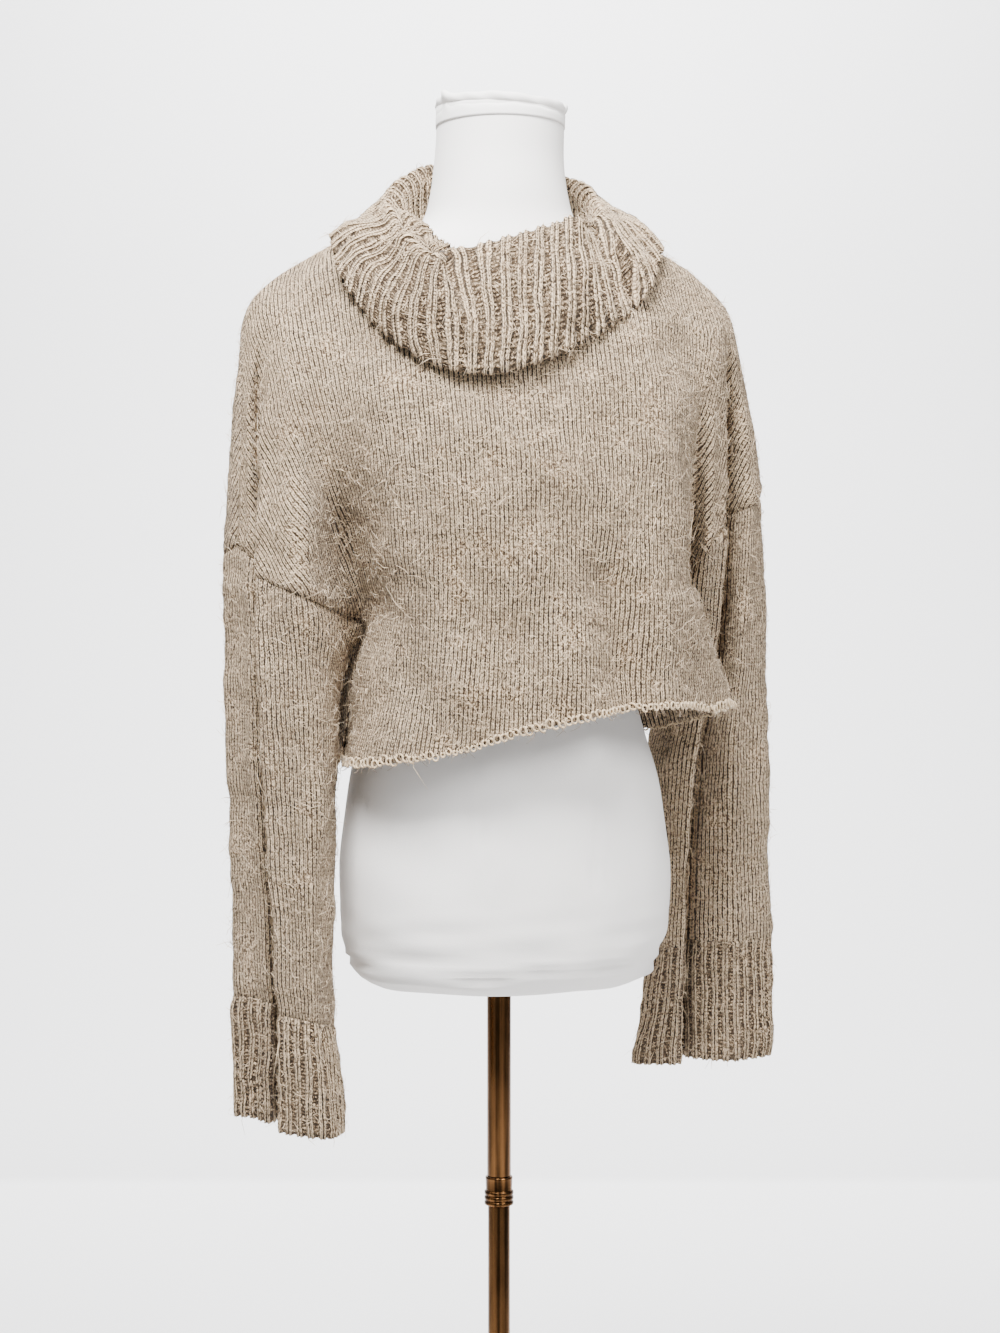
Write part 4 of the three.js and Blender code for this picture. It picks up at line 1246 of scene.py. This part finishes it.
def fibres(name, part, count, length, radius, lift, seed):
    """Thin curved fibres standing off the wool, as three-sided closed hairs in one mesh."""
    rng = np.random.default_rng(seed)
    place, out, down = spots_on(part, count, rng)
    side = np.cross(out, down)
    turn = rng.uniform(0, 2 * np.pi, (count, 1))
    lie = down * np.cos(turn) + side * np.sin(turn)
    lie2 = side * np.cos(turn) - down * np.sin(turn)
    long = length * rng.lognormal(0, 0.35, (count, 1))
    rise = lift * rng.lognormal(0, 0.5, (count, 1))
    curl = rng.normal(0, 0.8, (count, 1))
    t = (0, 0.5, 1.0)
    points = []
    for k in t:
        points.append(place + lie * long * k + lie2 * long * curl * k * k
                      + out * (rise * math.sin(k * 2.2) - 0.3 * (1 - k)))
    points = np.array(points)
    radii = radius * np.array([1.0, 0.95, 0.4])
    ring_turn = np.arange(3) * 2 * np.pi / 3
    first = np.cross(lie + lie2 * curl, out)
    first /= np.maximum(np.linalg.norm(first, axis=1, keepdims=True), 1e-9)
    ring = [first * math.cos(a) + out * math.sin(a) for a in ring_turn]
    vertices = np.array([[points[j] + ring[i] * radii[j] for i in range(3)] for j in range(3)])
    vertices = vertices.transpose(2, 0, 1, 3).reshape(-1, 3)
    base = (np.arange(count) * 9)[:, None]
    faces = [(j * 3 + i, j * 3 + (i + 1) % 3, j * 3 + 3 + (i + 1) % 3, j * 3 + 3 + i)
             for j in range(2) for i in range(3)]
    quads = (base[:, :, None] + np.array(faces)[None]).reshape(-1, 4).tolist()
    caps = np.concatenate([(base + np.array([2, 1, 0])), (base + np.array([6, 7, 8]))]).tolist()
    return new_object(name, vertices, quads + caps)


FUZZ = [  # cloth piece, short fibres, long light fibres
    ("sweater_front_cloth", 6200, 1500),
    ("sweater_back_cloth", 3800, 900),
    ("sleeve_left_cloth", 3000, 700),
    ("sleeve_right_cloth", 3000, 700),
    ("cuff_left_cloth", 700, 150),
    ("cuff_right_cloth", 700, 150),
    ("collar_cloth", 2200, 600),
]


FIBRES = {  # length, radius, how far they lift, and the first seed
    "fuzz": (5.0, 0.15, 1.5, 100),
    "hairs": (9.0, 0.25, 1.3, 200),
}


class SWEATER_OT_fuzz(bpy.types.Operator):
    """Raise the loose fibres of the wool"""
    bl_idname = "sweater.fuzz"
    bl_label = "Loose fibres"

    def execute(self, context):
        settings = context.scene.sweater
        soft = material("wool_fibre", fibre_material, tuple(settings.wool_light))
        for k, (name, *counts) in enumerate(FUZZ):
            for count, (kind, (length, radius, lift, seed)) in zip(counts, FIBRES.items()):
                piece = fibres(name.replace("cloth", kind), PARTS[name], count,
                               length, radius, lift, seed + k)
                dress(piece, soft, "wool_knit")
        return {"FINISHED"}


# ---------------------------------------------------------------- dress form and stand
def form_grid(columns):
    """Rows of the dress form, from the neck down to its underside."""
    angle = np.arange(columns) * 2 * np.pi / columns
    sections = []
    for z, middle, half, front, back, shape in FORM_SECTIONS:
        x, y = on_outline(half, front, back, shape, angle)
        sections.append(np.column_stack([middle + x, y, np.full(columns, z)]))
    gaps = -np.diff(FORM_SECTIONS[:, 0])
    return smooth(np.array(sections), [max(2, round(gap / 5)) for gap in gaps])


FORM_SEAMS = [[(-38, 982), (-36, 920), (-30, 870)], [(64, 982), (60, 920), (56, 870)]]


def closed_stack(name, grid):
    """A closed body from rings, with rounded ends drawn to the middle of the first and last."""
    rows, columns = grid.shape[:2]
    vertices = [grid.reshape(-1, 3), grid[0].mean(0)[None], grid[-1].mean(0)[None]]
    faces = []
    for j in range(rows - 1):
        for i in range(columns):
            n = (i + 1) % columns
            faces.append((j * columns + i, (j + 1) * columns + i, (j + 1) * columns + n, j * columns + n))
    top, bottom = rows * columns, rows * columns + 1
    last = (rows - 1) * columns
    for i in range(columns):
        n = (i + 1) % columns
        faces.append((top, i, n))
        faces.append((bottom, last + n, last + i))
    return new_object(name, np.concatenate(vertices), faces)


NECK_TOP = [  # radius and height, over the lip and in to the middle
    (55.7, 1516), (55.8, 1523), (55.0, 1526.5), (53.8, 1528.5), (55.6, 1530.5), (56.6, 1533.5),
    (55.8, 1536.5), (53.2, 1537.6), (49, 1536), (42, 1531), (28, 1528), (5, 1527),
]


class STAND_OT_form(bpy.types.Operator):
    """Build the dress form with its jersey cover"""
    bl_idname = "stand.form"
    bl_label = "Dress form"

    def execute(self, context):
        jersey = material("white_jersey", jersey_material, tuple(context.scene.stand.cover))
        grid = form_grid(180)
        normals = grid_normals(grid, closed=True)
        z = grid[..., 2]
        low = ease((868 - z) / 50)
        height = ripple(grid * (0.3, 0.3, 2.6), 34, 3) * 1.0 * low
        height += ripple(grid, 60, 8) * 0.5 * ease((1000 - z) / 30)
        for facing in (-1, 1):
            for line in FORM_SEAMS:
                distance, _ = near_line(grid[..., [0, 2]], line)
                faces = ease(normals[..., 1] * facing)
                height += (0.8 * bell(distance - 4, 3)
                           - 1.5 * bell(distance, 2)) * faces
        wave = 2.2 * np.sin(grid[..., 0] * 0.031) + 1.1 * np.sin(grid[..., 0] * 0.083 + 1)
        lip = z - 799 - wave
        height += 2.6 * bell(lip + 2, 3.2) - 2.0 * bell(lip - 4, 2)
        height += 1.4 * bell(lip - 9, 3)
        piece = closed_stack("form_body", grid + normals * height[..., None])
        dress(piece, jersey, "form_cover", "dress_form")
        self.neck_top(jersey)
        return {"FINISHED"}

    def neck_top(self, jersey):
        """The cover drawn over the end of the neck, its rolled lip dipping at the front."""
        columns = 144
        turn = np.arange(columns) * 2 * np.pi / columns
        corners = (5.5 * bell(turn - 1.62 * np.pi, 0.07)
                   + 4.0 * bell(turn - 0.42 * np.pi, 0.06))
        lift = -2.6 * np.cos(turn) - 2.2 * np.sin(turn) + corners * 0.55
        rows = []
        for k, (radius, z) in enumerate(NECK_TOP):
            rolled = ease((z - 1523) / 8)
            wave = 0.5 * np.sin(turn * 6 + k * 0.4) + 0.35 * np.sin(turn * 15 + k)
            reach = radius + (wave + corners * 0.5) * rolled * (radius > 40)
            rows.append(np.column_stack([1 + reach * np.sin(turn), -reach * np.cos(turn) - 1,
                                         z + (lift + wave * 0.7) * rolled]))
        piece = closed_stack("neck_top", smooth(np.array(rows)[::-1], 4))
        dress(piece, jersey, "form_cover", "neck_cap")


def turned(name, profile, columns=96):
    """A turned piece from a profile of radius and height, from the top down."""
    turn = np.arange(columns) * 2 * np.pi / columns
    rows = [np.column_stack([r * np.sin(turn), -r * np.cos(turn), np.full(columns, z)])
            for r, z in profile]
    return closed_stack(name, np.array(rows))


def rounded(corners, radius, steps=4):
    """A profile with every inner corner rounded."""
    points = [np.array(p, float) for p in corners]
    line = [points[0]]
    for before, here, after in zip(points, points[1:], points[2:]):
        a, b = before - here, after - here
        cut = min(radius, np.linalg.norm(a) / 2, np.linalg.norm(b) / 2)
        start, stop = here + a / np.linalg.norm(a) * cut, here + b / np.linalg.norm(b) * cut
        for t in np.linspace(0, 1, steps):
            line.append((1 - t) ** 2 * start + 2 * t * (1 - t) * here + t ** 2 * stop)
    return line + [points[-1]]


UPPER_RADIUS = 10.3
LOWER_RADIUS = 9.5
GAP = 0.3  # between the stand's parts
AXIS = 0.5  # radius where a turned piece closes at its axis
BASE_PROFILE = [  # radius and height, from the top down
    (AXIS, 26), (20.4, 26), (34, 16), (178, 9), (180, 7), (180, 5), (174, 0), (AXIS, 0),
]


class STAND_OT_pole(bpy.types.Operator):
    """Build the pole, its ribbed coupler and the base"""
    bl_idname = "stand.pole"
    bl_label = "Pole and base"

    def execute(self, context):
        settings = context.scene.stand
        bronze = material("polished_bronze", bronze_material,
                          (tuple(settings.bronze_dark), tuple(settings.bronze_warm)))
        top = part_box("dress_form")[0][2] / MM - GAP
        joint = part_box("pole_coupler")[0][2] / MM
        coupler_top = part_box("pole_coupler")[1][2] / MM
        base_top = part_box("stand_base")[1][2] / MM
        tubes = [("pole_upper", UPPER_RADIUS, top, coupler_top + GAP),
                 ("pole_lower", LOWER_RADIUS, joint - GAP, base_top + GAP)]
        for name, radius, high, low in tubes:
            profile = [(AXIS, high), (radius, high), (radius, low), (AXIS, low)]
            dress(turned(name + "_tube", rounded(profile, 0.6)), bronze, "bronze", name)
        rings = [(AXIS, coupler_top), (11.2, coupler_top), (11.9, coupler_top - 1.2), (11.6, coupler_top - 3)]
        for k in (2, 1, 0):
            middle = joint + 4.4 * (k + 0.5)
            rings += [(11.3, middle + 2.2), (12.5, middle + 1.3), (12.7, middle), (12.5, middle - 1.3)]
        rings += [(11.3, joint + 0.4), (10.8, joint), (AXIS, joint)]
        dress(turned("pole_coupler_ring", rounded(rings, 0.35, 3)), bronze, "bronze", "pole_coupler")
        dress(turned("stand_base_disc", rounded(BASE_PROFILE, 2.5), 160), bronze, "bronze", "stand_base")
        return {"FINISHED"}


# ---------------------------------------------------------------- stage
VIEW_TURN = math.radians(-12)  # the camera stands this far round from the front
VIEW_DISTANCE = 1.98
EYE_HEIGHT = 1.076
FLOOR_EDGE = 2.6  # where the lighter floor ends behind the form
WALL_BEHIND = 6.4
SWEEP = 2.4  # radius of the curve from the floor up to the wall
WALL_TONE = 0.84  # how light the wall is beside the floor
ROOM_LIGHT = 0.4
LENS = 82.8
SENSOR = 36
LENS_SHIFT = (0.001, -0.0265)
LAMPS = [  # name, then how far ahead, right and up in metres, size and power
    ("key", -1.0, -0.3, 2.65, 0.7, 185),
    ("fill", -1.6, 1.3, 2.4, 1.0, 75),
    ("wash", 3.3, 0, 4.4, 3.6, 1050),
]


class STAGE_OT_build(bpy.types.Operator):
    """Set the floor, the wall, the lights and the camera"""
    bl_idname = "stage.build"
    bl_label = "Stage"

    def execute(self, context):
        ahead = np.array((-math.sin(VIEW_TURN), math.cos(VIEW_TURN), 0))
        right = np.array((math.cos(VIEW_TURN), math.sin(VIEW_TURN), 0))
        flat = WALL_BEHIND - SWEEP
        profile = [(-8, 0), (flat, 0)]
        profile += [(flat + SWEEP * math.sin(a), SWEEP - SWEEP * math.cos(a))
                    for a in np.linspace(0.1, math.pi / 2, 15)]
        profile += [(WALL_BEHIND, 6)]
        vertices = [ahead * d + right * x + np.array((0, 0, z)) for x in (-8, 8) for d, z in profile]
        count = len(profile)
        faces = [(k, k + count, k + count + 1, k + 1) for k in range(count - 1)]
        stage = new_object("studio", np.array(vertices) / MM, faces)
        stage.data.materials.append(material("studio_paint", studio_material, linear(0xe9e9ea), 0.9))
        self.lights(ahead, right)
        self.camera(context, ahead)
        return {"FINISHED"}

    def lights(self, ahead, right):
        up = np.array((0, 0, 1.0))
        for name, forward, sideways, high, size, power in LAMPS:
            place = forward * ahead + sideways * right + high * up
            lamp = bpy.data.lights.new(name, "AREA")
            lamp.shape, lamp.size, lamp.energy = "SQUARE", size, power
            lamp_object = bpy.data.objects.new(name, lamp)
            lamp_object.location = place
            target = np.array((0, 0, 1.1)) if name != "wash" else WALL_BEHIND * ahead + 0.9 * up
            direction = target - place
            lamp_object.rotation_euler = vector_turn(direction)
            lamp_object.visible_camera = False
            bpy.context.scene.collection.objects.link(lamp_object)
        world = bpy.data.worlds.new("soft_room")
        world.use_nodes = True
        background = world.node_tree.nodes["Background"]
        background.inputs["Color"].default_value = (1, 1, 1, 1)
        background.inputs["Strength"].default_value = ROOM_LIGHT
        bpy.context.scene.world = world

    def camera(self, context, ahead):
        lens = bpy.data.cameras.new("view")
        lens.sensor_fit = "HORIZONTAL"
        lens.sensor_width, lens.lens = SENSOR, LENS
        lens.shift_x, lens.shift_y = LENS_SHIFT
        lens.clip_end = 50
        camera = bpy.data.objects.new("view", lens)
        camera.location = -ahead * VIEW_DISTANCE + np.array((0, 0, EYE_HEIGHT))
        camera.rotation_euler = vector_turn(ahead)
        context.scene.collection.objects.link(camera)
        context.scene.camera = camera


def vector_turn(direction):
    """Rotation that points a camera or a lamp along direction."""
    return Vector(direction).to_track_quat("-Z", "Y").to_euler()


# ---------------------------------------------------------------- add-on
BUILDERS = (SWEATER_OT_panels, SWEATER_OT_sleeves, SWEATER_OT_collar, SWEATER_OT_hem,
            SWEATER_OT_fuzz, STAND_OT_form, STAND_OT_pole, STAGE_OT_build)


class VIEW3D_PT_sweater(bpy.types.Panel):
    """Sidebar panel with the sizes, the colours and the pieces"""
    bl_label = "Sweater"
    bl_idname = "VIEW3D_PT_sweater"
    bl_space_type = "VIEW_3D"
    bl_region_type = "UI"
    bl_category = "Sweater"

    def draw(self, context):
        layout = self.layout
        for group in (context.scene.sweater, context.scene.stand):
            for name in group.__annotations__:
                layout.prop(group, name)
        for builder in BUILDERS:
            layout.operator(builder.bl_idname)


CLASSES = (SweaterSettings, StandSettings, *BUILDERS, VIEW3D_PT_sweater)


def register():
    """Adds the classes and the settings."""
    for cls in CLASSES:
        bpy.utils.register_class(cls)
    bpy.types.Scene.sweater = bpy.props.PointerProperty(type=SweaterSettings)
    bpy.types.Scene.stand = bpy.props.PointerProperty(type=StandSettings)


def unregister():
    """Takes the settings and the classes away."""
    del bpy.types.Scene.stand
    del bpy.types.Scene.sweater
    for cls in reversed(CLASSES):
        bpy.utils.unregister_class(cls)


def main():
    """Builds every piece in order."""
    register()
    bpy.ops.stage.build()
    bpy.ops.sweater.panels()
    bpy.ops.sweater.sleeves()
    bpy.ops.sweater.collar()
    bpy.ops.sweater.hem()
    bpy.ops.sweater.fuzz()
    bpy.ops.stand.form()
    bpy.ops.stand.pole()


if __name__ == "__main__":
    main()
